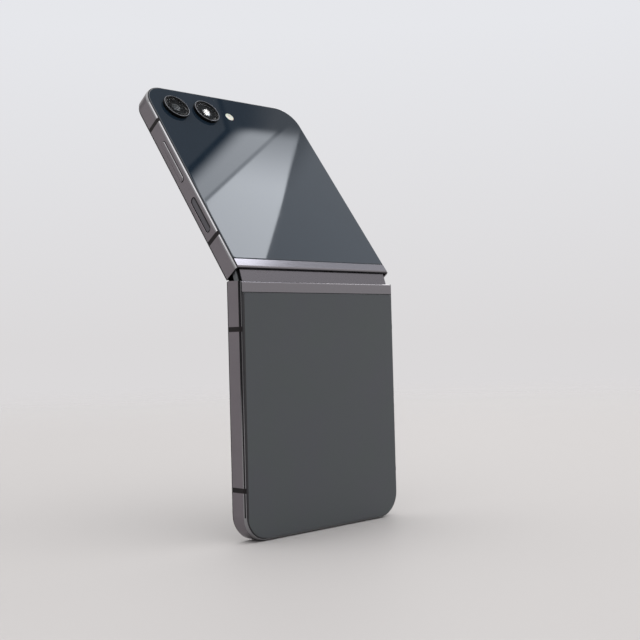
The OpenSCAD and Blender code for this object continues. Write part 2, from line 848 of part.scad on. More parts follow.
key_flange = 0.5;        // lip of a key behind the rail
key_flange_t = 0.4;
key_back = rail_wall + run + key_flange_t;
top_room = 5.6;          // between the main board and the end rail, with the earpiece
board_end = half_len - rail_wall - top_room;
board_u = board_end - main_board_len;
switch_room = 2;         // more space on the keys' side
board_left = -half_w + board_side + switch_room;
board_right = half_w - board_side;
camera_u = half_len - camera_end;
wide_x = -half_w + camera_side;
ultra_x = wide_x + camera_pitch;
flash_x = ultra_x + flash_pitch;
selfie_end = 5.2;        // distance of the selfie camera from the free end
selfie_u = half_len - selfie_end;
selfie_body = 1.4;       // how much wider its body is than its window
tray_w = 12.4;
tray_t = 0.9;
tray_cap_w = 2;
tray_in = half_w - rail_wall - slack;
tray_gap = 1.5;          // between the tray's end and the socket's

// Pill-shaped prism from one depth below the left rail's face to another
module key_prism(u, length, width, from, to) {
    translate([-half_w + from, u, centre_d]) rotate([90, 0, 90])
        linear_extrude(to - from) pill(length, width);
}

module key(u, length, width, proud) {
    key_prism(u, length, width, -proud, key_back);
    key_prism(u, length + 2 * key_flange, width + 2 * key_flange, rail_wall + run, key_back);
}

module upper_frame() {
    color("#726e72") on_upper() difference() {
        frame_body();
        band_slots(upper_bands, band_fit);
        key_prism(volume_u, volume_len + 2 * run, volume_w + 2 * run, -past, rail_wall + past);
        key_prism(power_u, power_len + 2 * run, power_w + 2 * run, -past, rail_wall + past);
        translate([half_w - rail_wall - past, tray_u, centre_d]) rotate([90, 0, 90])
            linear_extrude(rail_wall + 2 * past) pill(tray_len + 2 * fit, tray_cap_w + 2 * fit);
        translate([speaker_x, half_len + past, centre_d]) rotate([90, 0, 0])
            cylinder(r = mic_r, h = rail_wall + 2 * past);
        translate([0, selfie_u, 0]) cylinder(r = selfie_r + slack, h = half_t);
        screw_bores(upper_board_spots(), screw_r, half_t);
    }
}

function upper_board_spots() = [[board_left + screw_edge, board_u + screw_edge],
    [board_right - screw_edge, board_u + screw_edge], [board_right - screw_edge, board_end - screw_edge]];

module upper_antenna_bands() {
    color("#3a3436") on_upper() band_slots(upper_bands, 0);
}

module cover_glass() {
    color("#2b3038") on_upper() difference() {
        glass_plate();
        for (x = [wide_x, ultra_x]) translate([x, camera_u, -past])
            cylinder(r = neck_r + fit, h = glass_t + 2 * past);
        translate([flash_x, camera_u, -past]) cylinder(r = flash_r + fit, h = glass_t + 2 * past);
    }
}

module upper_glass_gasket() {
    color("#141416") on_upper() gasket();
}

// Panel behind the cover glass, cut away round the cameras
module cover_screen() {
    margin = 1.2;
    color("#15181e") on_upper() difference() {
        slab(glass_t + glue, glass_t + glue + cover_panel_t)
            outline(glass_inset + gasket_w + margin, flange_u + margin);
        block(-half_w, camera_u - ring_r - margin, 0,
            [half_w + flash_x + flash_r + margin, half_len, half_t]);
    }
}

module upper_hinge_strip() {
    color("#767277") on_upper() hinge_strip();
}

module upper_hinge_plate() {
    color("#8b8d90") on_upper() hinge_plate(false);
}

module upper_hinge_arms() {
    color("#9a9ca0") on_upper() hinge_arms(false);
}

module upper_battery() {
    top = glass_t + glue + cover_panel_t + 0.3;
    shift = 1.5;             // set off to the side away from the keys
    room = 2;
    color("#2b2c2f") on_upper() block(-battery_w / 2 + shift, seat_u + room, top,
        [battery_w, board_u - seat_u - 2 * room, flex_d - glue - top]);
}

module main_board() {
    color("#1d3b2c") on_upper() difference() {
        block(board_left, board_u, board_d, [board_right - board_left, main_board_len, board_t - fit]);
        block(-half_w, camera_u - module_half - slack, 0,
            [half_w + ultra_x + module_half + slack, half_len, half_t]);
        translate([0, selfie_u, 0]) cylinder(r = selfie_r + selfie_body + run, h = half_t);
        screw_bores(upper_board_spots(), screw_r, half_t);
    }
}

module shield_cans() {
    large = [34, 14, 1.4];
    small = [15, 9, 1.4];
    inset = 6;
    color("#9fa2a5") on_upper() {
        block(board_left + inset, board_u + 2 * screw_edge, board_d - large[2], large);
        block(flash_x + inset, board_u + large[1] + inset, board_d - small[2], small);
    }
}

module card_socket() {
    wall = 0.2;
    socket_top = centre_d - tray_t / 2 - run - wall;
    color("#94979b") on_upper() difference() {
        block(tray_in - tray_reach + spacing, tray_u - tray_w / 2 - run - wall, socket_top,
            [tray_reach - spacing, tray_w + 2 * (run + wall), board_d - socket_top]);
        block(tray_in - tray_reach, tray_u - tray_w / 2 - run, centre_d - tray_t / 2 - run,
            [tray_reach + 2 * past, tray_w + 2 * run, tray_t + 2 * run]);
    }
}

module_half = 4.5;       // half width of a camera module
neck_r = lens_r + 0.35;  // camera ring where it passes the glass
lens_t = 0.6;
lens_sunk = 0.2;         // set-back of the lens windows in their rings
lens_ledge = 0.4;        // width of the ledge under a lens window
ledge_d = lens_t + lens_sunk - ring_h;
sensor_t = 3.1;

module camera_modules() {
    color("#1b1c1f") on_upper() for (x = [wide_x, ultra_x]) translate([x, camera_u, 0]) {
        block(-module_half, -module_half, mid_top - sensor_t, [2 * module_half, 2 * module_half, sensor_t]);
        slab(0, mid_top - sensor_t + eps) circle(lens_r - lens_ledge - fit);
    }
}

module camera_rings() {
    rim_bevel = 0.25;
    hole_r = lens_r + fit;
    ledge_r = lens_r - lens_ledge;
    ledge_t = 0.3;
    color("#3c3d41") on_upper() for (x = [wide_x, ultra_x]) translate([x, camera_u, 0]) rotate_extrude()
        polygon([[hole_r, seat_d], [neck_r, seat_d], [neck_r, 0], [ring_r, 0],
            [ring_r, -ring_h + rim_bevel], [ring_r - rim_bevel, -ring_h], [hole_r, -ring_h],
            [hole_r, ledge_d], [ledge_r, ledge_d], [ledge_r, ledge_d + ledge_t],
            [hole_r, ledge_d + ledge_t]]);
}

module lens_windows() {
    color([0.05, 0.06, 0.07, 0.6]) on_upper() for (x = [wide_x, ultra_x]) translate([x, camera_u, 0])
        slab(ledge_d - lens_t, ledge_d) circle(lens_r);
}

module flash_window() {
    color("#d0d4cd") on_upper() translate([flash_x, camera_u, 0]) slab(0, glass_t) circle(flash_r);
}

module flash_led() {
    side = 2.4;
    color("#d9c77a") on_upper() block(flash_x - side / 2, camera_u - side / 2, glass_t + glue,
        [side, side, board_d - glass_t - glue]);
}

module selfie_camera() {
    selfie_t = 2.6;
    color("#1b1c1f") on_upper() translate([0, selfie_u, 0]) {
        slab(mid_top - selfie_t, mid_top - fit) circle(selfie_r + selfie_body);
        slab(mid_top - slack, screen_back - fit) circle(selfie_r);
    }
}

module earpiece() {
    size = [14, 3.6, 2.4];
    x = selfie_r + 2 * selfie_body;
    color("#222326") on_upper() block(x, board_end + spacing, mid_top - size[2], size);
}

module key_switches() {
    x = -half_w + key_back + key_travel;
    dome = [0.5, 2.4, 1.8];
    film_t = 0.3;
    low = centre_d - dome[1] / 2;
    color("#b8863a") on_upper() {
        block(x + dome[0], power_u - power_len / 2, low, [film_t, volume_u + volume_len / 2 - power_u
            + power_len / 2, mid_top - low]);
        for (u = [power_u, volume_u - volume_len / 4, volume_u + volume_len / 4])
            block(x, u - dome[1] / 2, centre_d - dome[2] / 2, [dome[0] + eps, dome[1], dome[2]]);
    }
}

module upper_flex() {
    color("#c07a2c") on_upper() flex_strip(board_u - fit);
}

module upper_screws() {
    color("#5b5d61") on_upper() {
        board_screws(upper_board_spots(), board_d);
        hinge_screws();
    }
}

module upper_magnets() {
    color("#b0b3b6") on_upper() closure_magnets();
}

module upper_screen() {
    color("#101216") on_upper() difference() {
        screen_panel();
        translate([0, selfie_u, 0]) cylinder(r = selfie_r + run, h = half_t);
    }
}

module upper_bezel() {
    color("#1a1b1d") on_upper() bezel();
}

module volume_key() {
    color("#736f74") on_upper() key(volume_u, volume_len, volume_w, volume_proud);
}

module side_key() {
    color("#454547") on_upper() key(power_u, power_len, power_w, -power_sunk);
}

module card_tray() {
    cap = 0.8;
    pin_hole_r = 0.4;
    frame_w = 0.8;
    floor_t = 0.3;
    start = tray_in - tray_reach + tray_gap;
    color("#726e72") on_upper() difference() {
        union() {
            translate([half_w - cap, tray_u, centre_d]) rotate([90, 0, 90])
                linear_extrude(cap) pill(tray_len, tray_cap_w);
            block(start, tray_u - tray_w / 2, centre_d - tray_t / 2,
                [half_w - cap + eps - start, tray_w, tray_t]);
        }
        block(start + frame_w, tray_u - tray_w / 2 + frame_w, centre_d - tray_t / 2 + floor_t,
            [tray_in - start - 2 * frame_w, tray_w - 2 * frame_w, tray_t]);
        translate([half_w + past, tray_u + (tray_len - tray_cap_w) / 2, centre_d]) rotate([0, -90, 0])
            cylinder(r = pin_hole_r, h = cap + 2 * past);
    }
}

lower_frame();
lower_antenna_bands();
lower_back_glass();
lower_glass_gasket();
lower_hinge_strip();
lower_hinge_plate();
lower_hinge_arms();
lower_battery();
charging_coil();
coil_shield();
usb_board();
usb_socket();
usb_tongue();
loudspeaker();
speaker_mesh();
vibration_motor();
bottom_microphone();
lower_flex();
lower_screws();
lower_magnets();
lower_screen();
lower_bezel();
bezel_stops();
spine_cover();
spine_end_caps();
hinge_brackets();
screen_fold();
fold_flex();
lower_shaft_gears();
lower_idler_gears();
upper_idler_gears();
upper_shaft_gears();
upper_frame();
upper_antenna_bands();
cover_glass();
upper_glass_gasket();
cover_screen();
upper_hinge_strip();
upper_hinge_plate();
upper_hinge_arms();
upper_battery();
main_board();
shield_cans();
card_socket();
camera_modules();
camera_rings();
lens_windows();
flash_window();
flash_led();
selfie_camera();
earpiece();
key_switches();
upper_flex();
upper_screws();
upper_magnets();
upper_screen();
upper_bezel();
volume_key();
side_key();
card_tray();
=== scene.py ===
import math
import bmesh
import bpy
from mathutils import Matrix, Vector


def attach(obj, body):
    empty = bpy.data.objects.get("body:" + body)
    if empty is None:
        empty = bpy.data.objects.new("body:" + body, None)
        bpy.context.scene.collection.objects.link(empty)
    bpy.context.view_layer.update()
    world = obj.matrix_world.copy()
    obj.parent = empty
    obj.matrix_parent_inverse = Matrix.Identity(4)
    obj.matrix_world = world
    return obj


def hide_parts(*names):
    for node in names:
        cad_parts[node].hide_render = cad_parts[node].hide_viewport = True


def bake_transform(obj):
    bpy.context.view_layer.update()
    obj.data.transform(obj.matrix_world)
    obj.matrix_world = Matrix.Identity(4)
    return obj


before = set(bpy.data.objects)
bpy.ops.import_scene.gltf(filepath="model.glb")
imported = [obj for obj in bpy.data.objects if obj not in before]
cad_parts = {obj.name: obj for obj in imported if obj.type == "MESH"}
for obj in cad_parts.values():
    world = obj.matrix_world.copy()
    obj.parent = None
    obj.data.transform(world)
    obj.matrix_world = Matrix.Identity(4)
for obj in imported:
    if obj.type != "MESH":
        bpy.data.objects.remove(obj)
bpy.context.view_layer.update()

# Shared sizes of the solid model, in millimetres. Plan coordinates: x across, u from the fold line and
# d from the outer face.
body = {"halfW": 35.95, "halfLen": 82.55, "thick": 6.9, "corner": 8.6, "axisU": 2.05, "axisD": 5.5,
        "restFold": 18.0, "pocketU": 6.95, "skin": 0.6}
halfW, halfLen, thick, corner = body["halfW"], body["halfLen"], body["thick"], body["corner"]
centreD = thick / 2
mm = 0.001


def tilt(u):
    pivot = Vector((0, body["axisD"], u))
    turn = Matrix.Rotation(-math.radians(body["restFold"]), 4, "X")
    return Matrix.Translation(pivot) @ turn @ Matrix.Translation(-pivot)


lift = Matrix.Scale(mm, 4) @ Matrix.Translation((0, 0, halfLen / 2))
swap = Matrix(((1, 0, 0, 0), (0, 0, 1, 0), (0, 1, 0, 0), (0, 0, 0, 1)))
places = {
    "lower_half": lift @ Matrix.Scale(-1, 4, (0, 0, 1)) @ swap,
    "spine": lift @ tilt(-body["axisU"]) @ swap,
    "upper_half": lift @ tilt(-body["axisU"]) @ tilt(body["axisU"]) @ swap,
}
for key in ("volume_button", "side_button", "tray"):
    places[key] = places["upper_half"]


def linear(code):
    parts = [int(code[i:i + 2], 16) / 255 for i in (1, 3, 5)]
    return tuple(c / 12.92 if c <= 0.04045 else ((c + 0.055) / 1.055) ** 2.4 for c in parts) + (1,)


def add(tree, kind, links={}, **settings):
    made = tree.nodes.new("ShaderNode" + kind)
    for name, value in settings.items():
        setattr(made, name, value)
    for socket, value in links.items():
        if isinstance(value, bpy.types.NodeSocket):
            tree.links.new(value, made.inputs[socket])
        else:
            made.inputs[socket].default_value = value
    return made


def newMaterial(name):
    made = bpy.data.materials.new(name)
    made.use_nodes = True
    made.node_tree.nodes.clear()
    return made, made.node_tree


noiseSpan = (0.3, 0.7)  # most values of a noise lie between these


# Noise or cells, with grains of sizeMm that are stretched along x, y and z.
def pattern(tree, sizeMm, detail=3, stretch=(1, 1, 1), kind="TexNoise"):
    place = add(tree, "TexCoord").outputs["Object"]
    spread = add(tree, "Mapping", {"Vector": place, "Scale": stretch}).outputs["Vector"]
    if kind == "TexVoronoi":
        return add(tree, kind, {"Vector": spread, "Scale": 1 / (sizeMm * mm)}).outputs["Distance"]
    return add(tree, kind, {"Vector": spread, "Scale": 1 / (sizeMm * mm), "Detail": detail}).outputs["Fac"]


# Colour that wanders between two tones.
def mottle(tree, first, second, sizeMm, detail=3, stretch=(1, 1, 1)):
    slow = pattern(tree, sizeMm, detail, stretch)
    share = add(tree, "MapRange", {"Value": slow, "From Min": noiseSpan[0], "From Max": noiseSpan[1]})
    tones = {0: share.outputs["Result"], 6: linear(first), 7: linear(second)}
    return add(tree, "Mix", tones, data_type="RGBA").outputs[2]


# One finish: colour that wanders between two tones, roughness that wanders too, and a fine relief in mm.
def finish(name, tone, other, rough, roughSpread=0.04, metallic=0.0, wander=9.0, grain=0.08, relief=0.004,
           stretch=(1, 1, 1), coat=0.0, coatRough=0.1, ior=1.5, grainKind="TexNoise"):
    made, tree = newMaterial(name)
    colour = mottle(tree, tone, other, wander, 4, stretch)
    fine = pattern(tree, grain, 2, stretch, grainKind)
    worn = add(tree, "MapRange", {"Value": fine, "From Min": noiseSpan[0], "From Max": noiseSpan[1],
                                  "To Min": rough - roughSpread, "To Max": rough + roughSpread})
    bump = add(tree, "Bump", {"Height": fine, "Distance": relief * mm, "Strength": 1.0})
    shader = add(tree, "BsdfPrincipled", {"Base Color": colour, "Roughness": worn.outputs["Result"],
                                          "Metallic": metallic, "IOR": ior, "Coat Weight": coat,
                                          "Coat Roughness": coatRough, "Normal": bump.outputs["Normal"]})
    add(tree, "OutputMaterial", {"Surface": shader.outputs["BSDF"]})
    return made


# Grain sizes are in millimetres. Etched, blasted and cut marks are finer on the real thing, and are drawn
# coarser here so that they show from close by.
looks = {
    # Bead-blasted and anodised aluminium: soft mauve grey with a barely visible grain.
    "rail": finish("bead_blasted_anodised_aluminium", "#7c777c", "#787378", 0.36, metallic=1.0, grain=0.07,
                   relief=0.0012, wander=14),
    # Machined, polished and anodised aluminium: the same grey with faint lines along the fold.
    "strip": finish("polished_anodised_aluminium", "#838085", "#7e7b80", 0.13, metallic=1.0, grain=0.12,
                    relief=0.0001, stretch=(0.05, 1, 1), wander=10, roughSpread=0.02),
    # Die-cast and blasted end caps of the spine: a cooler, duller grey.
    "cap": finish("blasted_cast_cap", "#686b6e", "#626568", 0.38, metallic=1.0, grain=0.1, relief=0.002),
    # Extruded and anodised spine: the strips' polish, a little duller.
    "spine": finish("extruded_anodised_spine", "#767379", "#716f75", 0.27, metallic=1.0, grain=0.12,
                    relief=0.0001, roughSpread=0.01, stretch=(0.05, 1, 1), wander=10),
    # Chemically etched glass over a grey film: satin, even, slightly green and blue in places.
    "satinGlass": finish("etched_glass_over_grey_film", "#43494b", "#44474d", 0.42, grain=0.05,
                         relief=0.0008, wander=16, roughSpread=0.03),
    # Polished glass over a black panel: near black, sharp reflections.
    "coverGlass": finish("polished_glass_over_black_panel", "#1b2733", "#1d2935", 0.02, roughSpread=0.006,
                         ior=1.52, wander=20, grain=6, relief=0.0),
    # Injection-moulded band resin: near black and dull.
    "band": finish("moulded_antenna_resin", "#141012", "#191517", 0.5, ior=1.3, grain=0.15, relief=0.003),
    # Diamond-cut and anodised edge: the rail's grey, but like a mirror, so it shows as a light or dark line.
    "chamfer": finish("diamond_cut_anodised_edge", "#909093", "#8a8a8d", 0.07, metallic=1.0, grain=0.1,
                      relief=0.0, roughSpread=0.01, wander=14),
    # Painted shade: black with a soft gleam, for the dark line between the rail and the glass and for other
    # edges and gaps in shade.
    "paintedShade": finish("black_painted_shade", "#121115", "#17161a", 0.3, ior=1.3, grain=0.1, relief=0.0005,
                   wander=10),
    # Painted shade under the left border of the back glass: black and even, with the glass's gleam over it.
    "printed": finish("black_painted_shade_under_glass", "#1a1a1f", "#1e1e23", 0.3, grain=0.1, relief=0.0004,
                      wander=12),
    # Black adhesive foam: dull, with open pores.
    "gasket": finish("black_adhesive_foam", "#0b0b0d", "#121214", 0.7, ior=1.25, grain=0.2, relief=0.01),
    # Moulded black bezel with a fine spark-eroded texture: dull black.
    "bezel": finish("spark_textured_black_polymer", "#17181a", "#1d1e20", 0.48, grain=0.1, relief=0.003),
    # Soft moulded rubber: black without gleam.
    "rubber": finish("moulded_black_rubber", "#202123", "#28292b", 0.75, grain=0.12, relief=0.004),
    # Folding screen, off: laminated polymer film, glossy with a slow waviness.
    "screen": finish("laminated_screen_film", "#0a0b0e", "#0d0e12", 0.06, roughSpread=0.01, grain=5,
                     relief=0.0015, wander=25, coat=0.3, coatRough=0.03),
    # Sintered steel of the hinge: grey with fine pores.
    "steel": finish("sintered_hinge_steel", "#9a9ca0", "#8a8c90", 0.34, metallic=1.0, grain=0.1,
                    relief=0.004, grainKind="TexVoronoi"),
    # Hobbed brass gears: yellow with faint cutting lines.
    "brass": finish("hobbed_brass", "#c2a35a", "#ab8c48", 0.3, metallic=1.0, grain=0.06, relief=0.003,
                    stretch=(0.2, 1, 1)),
    # Machined bare aluminium plates: dark grey with lines across.
    "plate": finish("machined_aluminium_plate", "#55565a", "#5f6064", 0.38, metallic=1.0, grain=0.12,
                    relief=0.002, stretch=(0.1, 1, 1)),
    # Stamped, tinned steel cans: pale and slightly cloudy.
    "can": finish("stamped_tinned_steel", "#9fa2a5", "#8f9295", 0.3, metallic=1.0, grain=0.2, relief=0.004),
    # Pouch cell wrap: black film with shallow crinkles.
    "pouch": finish("crinkled_battery_film", "#2b2c2f", "#1f2023", 0.4, grain=1.6, relief=0.05, coat=0.4),
    # Ferrite sheet: dull and flecked.
    "ferrite": finish("flecked_ferrite_sheet", "#3d3f42", "#303235", 0.6, grain=0.3, relief=0.005,
                      grainKind="TexVoronoi"),
    # Polyimide flat cable: amber with fine lengthwise tracks.
    "flex": finish("tracked_polyimide_film", "#b8732a", "#8f5a20", 0.3, grain=0.5, relief=0.01,
                   stretch=(1, 0.02, 0.02), wander=0.8, coat=0.5),
    # Moulded black polymer of the camera and speaker bodies: plain and slightly dull.
    "polymer": finish("moulded_black_polymer", "#1b1c1f", "#242528", 0.45, grain=0.15, relief=0.004),
    # Nickel-plated magnets: pale and bright.
    "nickel": finish("nickel_plated_magnet", "#b0b3b6", "#a4a7aa", 0.22, metallic=1.0, grain=0.3,
                     relief=0.003),
    # Black-zinc screws: dark grey with a soft gleam.
    "screw": finish("black_zinc_steel", "#5b5d61", "#4b4d51", 0.36, metallic=1.0, grain=0.1, relief=0.004),
    # Turned and anodised aluminium of the camera rings: dark grey, smooth.
    "ring": finish("turned_dark_anodised_aluminium", "#6b6d72", "#64666b", 0.3, metallic=1.0, grain=0.05,
                   relief=0.001),
    # Dark anodised aluminium of the side key, with a sensor's smooth skin.
    "darkKey": finish("dark_anodised_sensor_key", "#5c5b60", "#616065", 0.3, metallic=1.0, grain=0.07,
                      relief=0.001),
    # Lens barrel of black moulded polymer: so dull that it hardly shows its steps. It is also the painted
    # shade on the camera rings' outer walls.
    "barrel": finish("matt_black_lens_barrel", "#060708", "#0a0b0c", 0.5, ior=1.15, grain=0.1,
                     relief=0.002),
    # Phosphor of the flash light: dull yellow.
    "phosphor": finish("yellow_phosphor", "#d9c77a", "#cdb968", 0.6, grain=0.1, relief=0.004),
    # Gold-plated contacts: warm yellow, smooth.
    "gold": finish("gold_plated_contact", "#c9a558", "#bf9a4c", 0.25, metallic=1.0, grain=0.1,
                   relief=0.001),
}


# Circuit board: green solder mask with traces and pads, drawn coarser than real ones so that they show.
board = {"mask": ("#173324", "#1d3b2c"), "trace": "#2f5a43", "pad": "#b89a55", "rowMm": 0.6579,
         "rowShare": 0.25, "traceShare": 0.012, "padMm": 1.1, "padShare": 0.09, "rough": 0.35}


def boardLook():
    made, tree = newMaterial("solder_masked_board")
    place = add(tree, "TexCoord").outputs["Object"]
    tracks = add(tree, "TexBrick", {
        "Vector": place, "Scale": board["rowShare"] / (board["rowMm"] * mm), "Row Height": board["rowShare"],
        "Mortar Size": board["traceShare"], "Mortar": linear(board["trace"]),
        "Color1": linear(board["mask"][0]), "Color2": linear(board["mask"][1])}).outputs["Color"]
    pads = pattern(tree, board["padMm"], 2, kind="TexVoronoi")
    bare = add(tree, "Math", {0: pads, 1: board["padShare"]}, operation="LESS_THAN").outputs[0]
    colour = add(tree, "Mix", {0: bare, 6: tracks, 7: linear(board["pad"])}, data_type="RGBA").outputs[2]
    shader = add(tree, "BsdfPrincipled", {"Base Color": colour, "Roughness": board["rough"],
                                          "Metallic": bare})
    add(tree, "OutputMaterial", {"Surface": shader.outputs[0]})
    return made


# Flat wound enamelled copper: fine rings round the coil's middle.
coil = {"u": 41.225, "dark": "#7a4524", "bright": "#c58048", "pitch": 0.5, "relief": 0.05, "rough": 0.3}


def coilLook():
    made, tree = newMaterial("wound_enamelled_copper")
    place = add(tree, "TexCoord").outputs["Object"]
    down = (0, 0, (coil["u"] - halfLen / 2) * mm)
    local = add(tree, "Mapping", {"Vector": place, "Location": down}).outputs["Vector"]
    flat = add(tree, "VectorMath", {0: local, 1: (1, 0, 1)}, operation="MULTIPLY").outputs[0]
    radius = add(tree, "VectorMath", {0: flat}, operation="LENGTH").outputs["Value"]
    perTurn = 2 * math.pi / (coil["pitch"] * mm)
    turns = add(tree, "Math", {0: radius, 1: perTurn}, operation="MULTIPLY").outputs[0]
    wave = add(tree, "Math", {0: turns}, operation="SINE").outputs[0]
    share = add(tree, "MapRange", {"Value": wave, "From Min": -1, "From Max": 1}).outputs["Result"]
    tones = {0: share, 6: linear(coil["dark"]), 7: linear(coil["bright"])}
    colour = add(tree, "Mix", tones, data_type="RGBA").outputs[2]
    bump = add(tree, "Bump", {"Height": wave, "Distance": coil["relief"] * mm}).outputs[0]
    shader = add(tree, "BsdfPrincipled", {"Base Color": colour, "Metallic": 1.0, "Roughness": coil["rough"],
                                          "Normal": bump})
    add(tree, "OutputMaterial", {"Surface": shader.outputs[0]})
    return made


# Woven steel mesh behind the speaker holes: dark squares, wider than the real wires so that they show.
wireMesh = {"wire": "#2a2b2d", "gap": "#08080a", "wireMm": 0.12, "relief": 0.05, "metallic": 0.7,
            "rough": 0.5}


def meshLook():
    made, tree = newMaterial("woven_speaker_mesh")
    place = add(tree, "TexCoord").outputs["Object"]
    weave = add(tree, "TexChecker", {"Vector": place, "Scale": 1 / (wireMesh["wireMm"] * mm),
                                     "Color1": linear(wireMesh["wire"]), "Color2": linear(wireMesh["gap"])})
    bump = add(tree, "Bump", {"Height": weave.outputs["Fac"], "Distance": wireMesh["relief"] * mm})
    shader = add(tree, "BsdfPrincipled", {"Base Color": weave.outputs["Color"],
                                          "Metallic": wireMesh["metallic"], "Roughness": wireMesh["rough"],
                                          "Normal": bump.outputs[0]})
    add(tree, "OutputMaterial", {"Surface": shader.outputs[0]})
    return made


# Clear glass under an anti-reflection coating, which mirrors as little as a low index does.
clearGlass = {"tint": "#f4f6f8", "ior": 1.2, "haze": 0.006, "wander": 3.0}


def clearLook():
    made, tree = newMaterial("coated_lens_window")
    slow = pattern(tree, clearGlass["wander"])
    rough = add(tree, "MapRange", {"Value": slow, "From Min": noiseSpan[0], "From Max": noiseSpan[1],
                                   "To Max": clearGlass["haze"]}).outputs["Result"]
    shader = add(tree, "BsdfPrincipled", {"Base Color": linear(clearGlass["tint"]), "Roughness": rough,
                                          "Transmission Weight": 1.0, "IOR": clearGlass["ior"]})
    add(tree, "OutputMaterial", {"Surface": shader.outputs[0]})
    return made


# Lens element: dark glass under a coating that glints faintly green.
def elementLook(name, first, second, rough, ior, wander=2.0):
    made, tree = newMaterial(name)
    colour = mottle(tree, first, second, wander)
    shader = add(tree, "BsdfPrincipled", {"Base Color": colour, "Roughness": rough, "IOR": ior})
    add(tree, "OutputMaterial", {"Surface": shader.outputs[0]})
    return made


# Moulded diffuser of the flash: milky, with fine rings that the shape carries.
milky = {"tones": ("#e9ebe2", "#d9dccd"), "wander": 1.2, "rough": 0.12, "coat": 0.3, "depth": 0.4}


def diffuserLook():
    made, tree = newMaterial("moulded_flash_diffuser")
    colour = mottle(tree, *milky["tones"], milky["wander"])
    shader = add(tree, "BsdfPrincipled", {"Base Color": colour, "Roughness": milky["rough"], "IOR": 1.5,
                                          "Coat Weight": milky["coat"], "Subsurface Weight": 0.2,
                                          "Subsurface Scale": milky["depth"] * mm})
    add(tree, "OutputMaterial", {"Surface": shader.outputs[0]})
    return made


looks["board"] = boardLook()
looks["coil"] = coilLook()
looks["mesh"] = meshLook()
looks["lensGlass"] = clearLook()
looks["outerElement"] = elementLook("coated_wide_lens", "#0e1213", "#151a19", 0.3, 1.6)
looks["innerElement"] = elementLook("polished_main_lens", "#030405", "#070908", 0.04, 2.3)
looks["diffuser"] = diffuserLook()
print("stage: materials made")


tiny = 1e-4  # radius that closes the tip of a lathed shape


# The angles of a quarter turn, from the given step on.
def quarter(steps, first=0):
    return [math.pi / 2 * i / steps for i in range(first, steps + 1)]


def loft(rings, closedEnds=True):
    shape = bmesh.new()
    loops = [[shape.verts.new(p) for p in ring] for ring in rings]
    for a, b in zip(loops, loops[1:]):
        for i in range(len(a)):
            j = (i + 1) % len(a)
            shape.faces.new((a[i], a[j], b[j], b[i]))
    if closedEnds:
        shape.faces.new(loops[0])
        shape.faces.new(loops[-1])
    return shape


# Rings round an axis along d; profile points are (radius, d).
def lathe(profile, x, u, steps=72, closedEnds=True):
    angles = [2 * math.pi * i / steps for i in range(steps)]
    rings = [[(x + r * math.cos(a), u + r * math.sin(a), d) for a in angles] for r, d in profile]
    return loft(rings, closedEnds)


# Rounds each corner of an outline; short sides keep a little of their own line.
def soften(points, radius, steps=3, most=2.2):
    made = []
    count = len(points)
    for i in range(count):
        here, before, after = (Vector(points[k % count]) for k in (i, i - 1, i + 1))
        a = (before - here).normalized() * min(radius, (before - here).length / most)
        b = (after - here).normalized() * min(radius, (after - here).length / most)
        for k in range(steps + 1):
            t = k / steps
            made.append(tuple(here + a * (1 - t) ** 2 + b * t * t))
    return made


# Outline of a half at an inset, from the fold end on the right round to the fold end on the left.
def rimPath(inset, start, arcSteps=24):
    r = corner - inset
    cx, cu = halfW - corner, halfLen - corner
    right = [(cx + r, start)] + [(cx + r * math.cos(a), cu + r * math.sin(a)) for a in quarter(arcSteps)]
    return right + [(-x, u) for x, u in reversed(right)]


foldRelief = [(0, 0.6), (5.5, 0.25), (6.9, 0.7)]  # d, and how far from the fold a half ends there


def foldEnd(d):
    for (d0, u0), (d1, u1) in zip(foldRelief, foldRelief[1:]):
        if d <= d1:
            return u0 + (u1 - u0) * max(0, (d - d0)) / (d1 - d0)
    return foldRelief[-1][1]


# A section swept round the rim. Section points are (x from the outer outline, negative inward, d).
def rimSweep(section, start=None):
    paths = [rimPath(-a, foldEnd(d) if start is None else start) for a, d in section]
    rings = [[(path[k][0], path[k][1], section[i][1]) for i, path in enumerate(paths)]
             for k in range(len(paths[0]))]
    return loft(rings)


# A plate with a half's outline and clipped fold corners. Levels are (inset, d, extra inset along the straight
# sides), and the extra inset fades out before the round corners and toward the middle.
plateEnds = {"clip": 0.45, "fadeU": 1.5, "overU": 3, "fadeX": 4, "overX": 2}


def outlinePlate(levels, start):
    rings = []
    clip = plateEnds["clip"]
    for inset, d, extra in levels:
        path = rimPath(inset, start + inset - levels[0][0])
        (x0, u0), (x1, u1) = path[0], path[-1]
        path = path[1:-1] + [(x1, u1 + clip), (x1 + clip, u1), (x0 - clip, u0), (x0, u0 + clip)]
        ring = []
        for x, u in path:
            beforeRound = (halfLen - corner + plateEnds["fadeU"] - u) / plateEnds["overU"]
            nearSide = (abs(x) - halfW + plateEnds["fadeX"]) / plateEnds["overX"]
            fade = min(1, max(0, beforeRound)) * min(1, max(0, nearSide))
            ring.append((x - math.copysign(extra * fade, x), u, d))
        rings.append(ring)
    return loft(rings)


def acrossX(section, x0, x1):
    return loft([[(x0, u, d) for u, d in section], [(x1, u, d) for u, d in section]])


def brick(x, u, d):
    return loft([[(x[i], u[j], z) for i, j in ((0, 0), (1, 0), (1, 1), (0, 1))] for z in d])


def pillOutline(length, width, steps=12):
    r, straight = width / 2, (length - width) / 2
    made = []
    for side in (1, -1):
        for i in range(steps + 1):
            a = -math.pi / 2 + math.pi * i / steps
            made.append((side * (straight + r * math.cos(a)), side * r * math.sin(a)))
    return made


# A pill lofted through levels (depth along the normal, growth), drawn in its own plane and set by a function.
def pillLoft(length, width, levels, place, steps=12):
    return loft([[place(p, q, t) for p, q in pillOutline(length + 2 * g, width + 2 * g, steps)]
                 for t, g in levels])


# The two places of a pill: on a long side of a half at u, and at its free end at x.
def onSide(side, u):
    return lambda p, q, t: (side * (halfW + t), u + p, centreD + q)


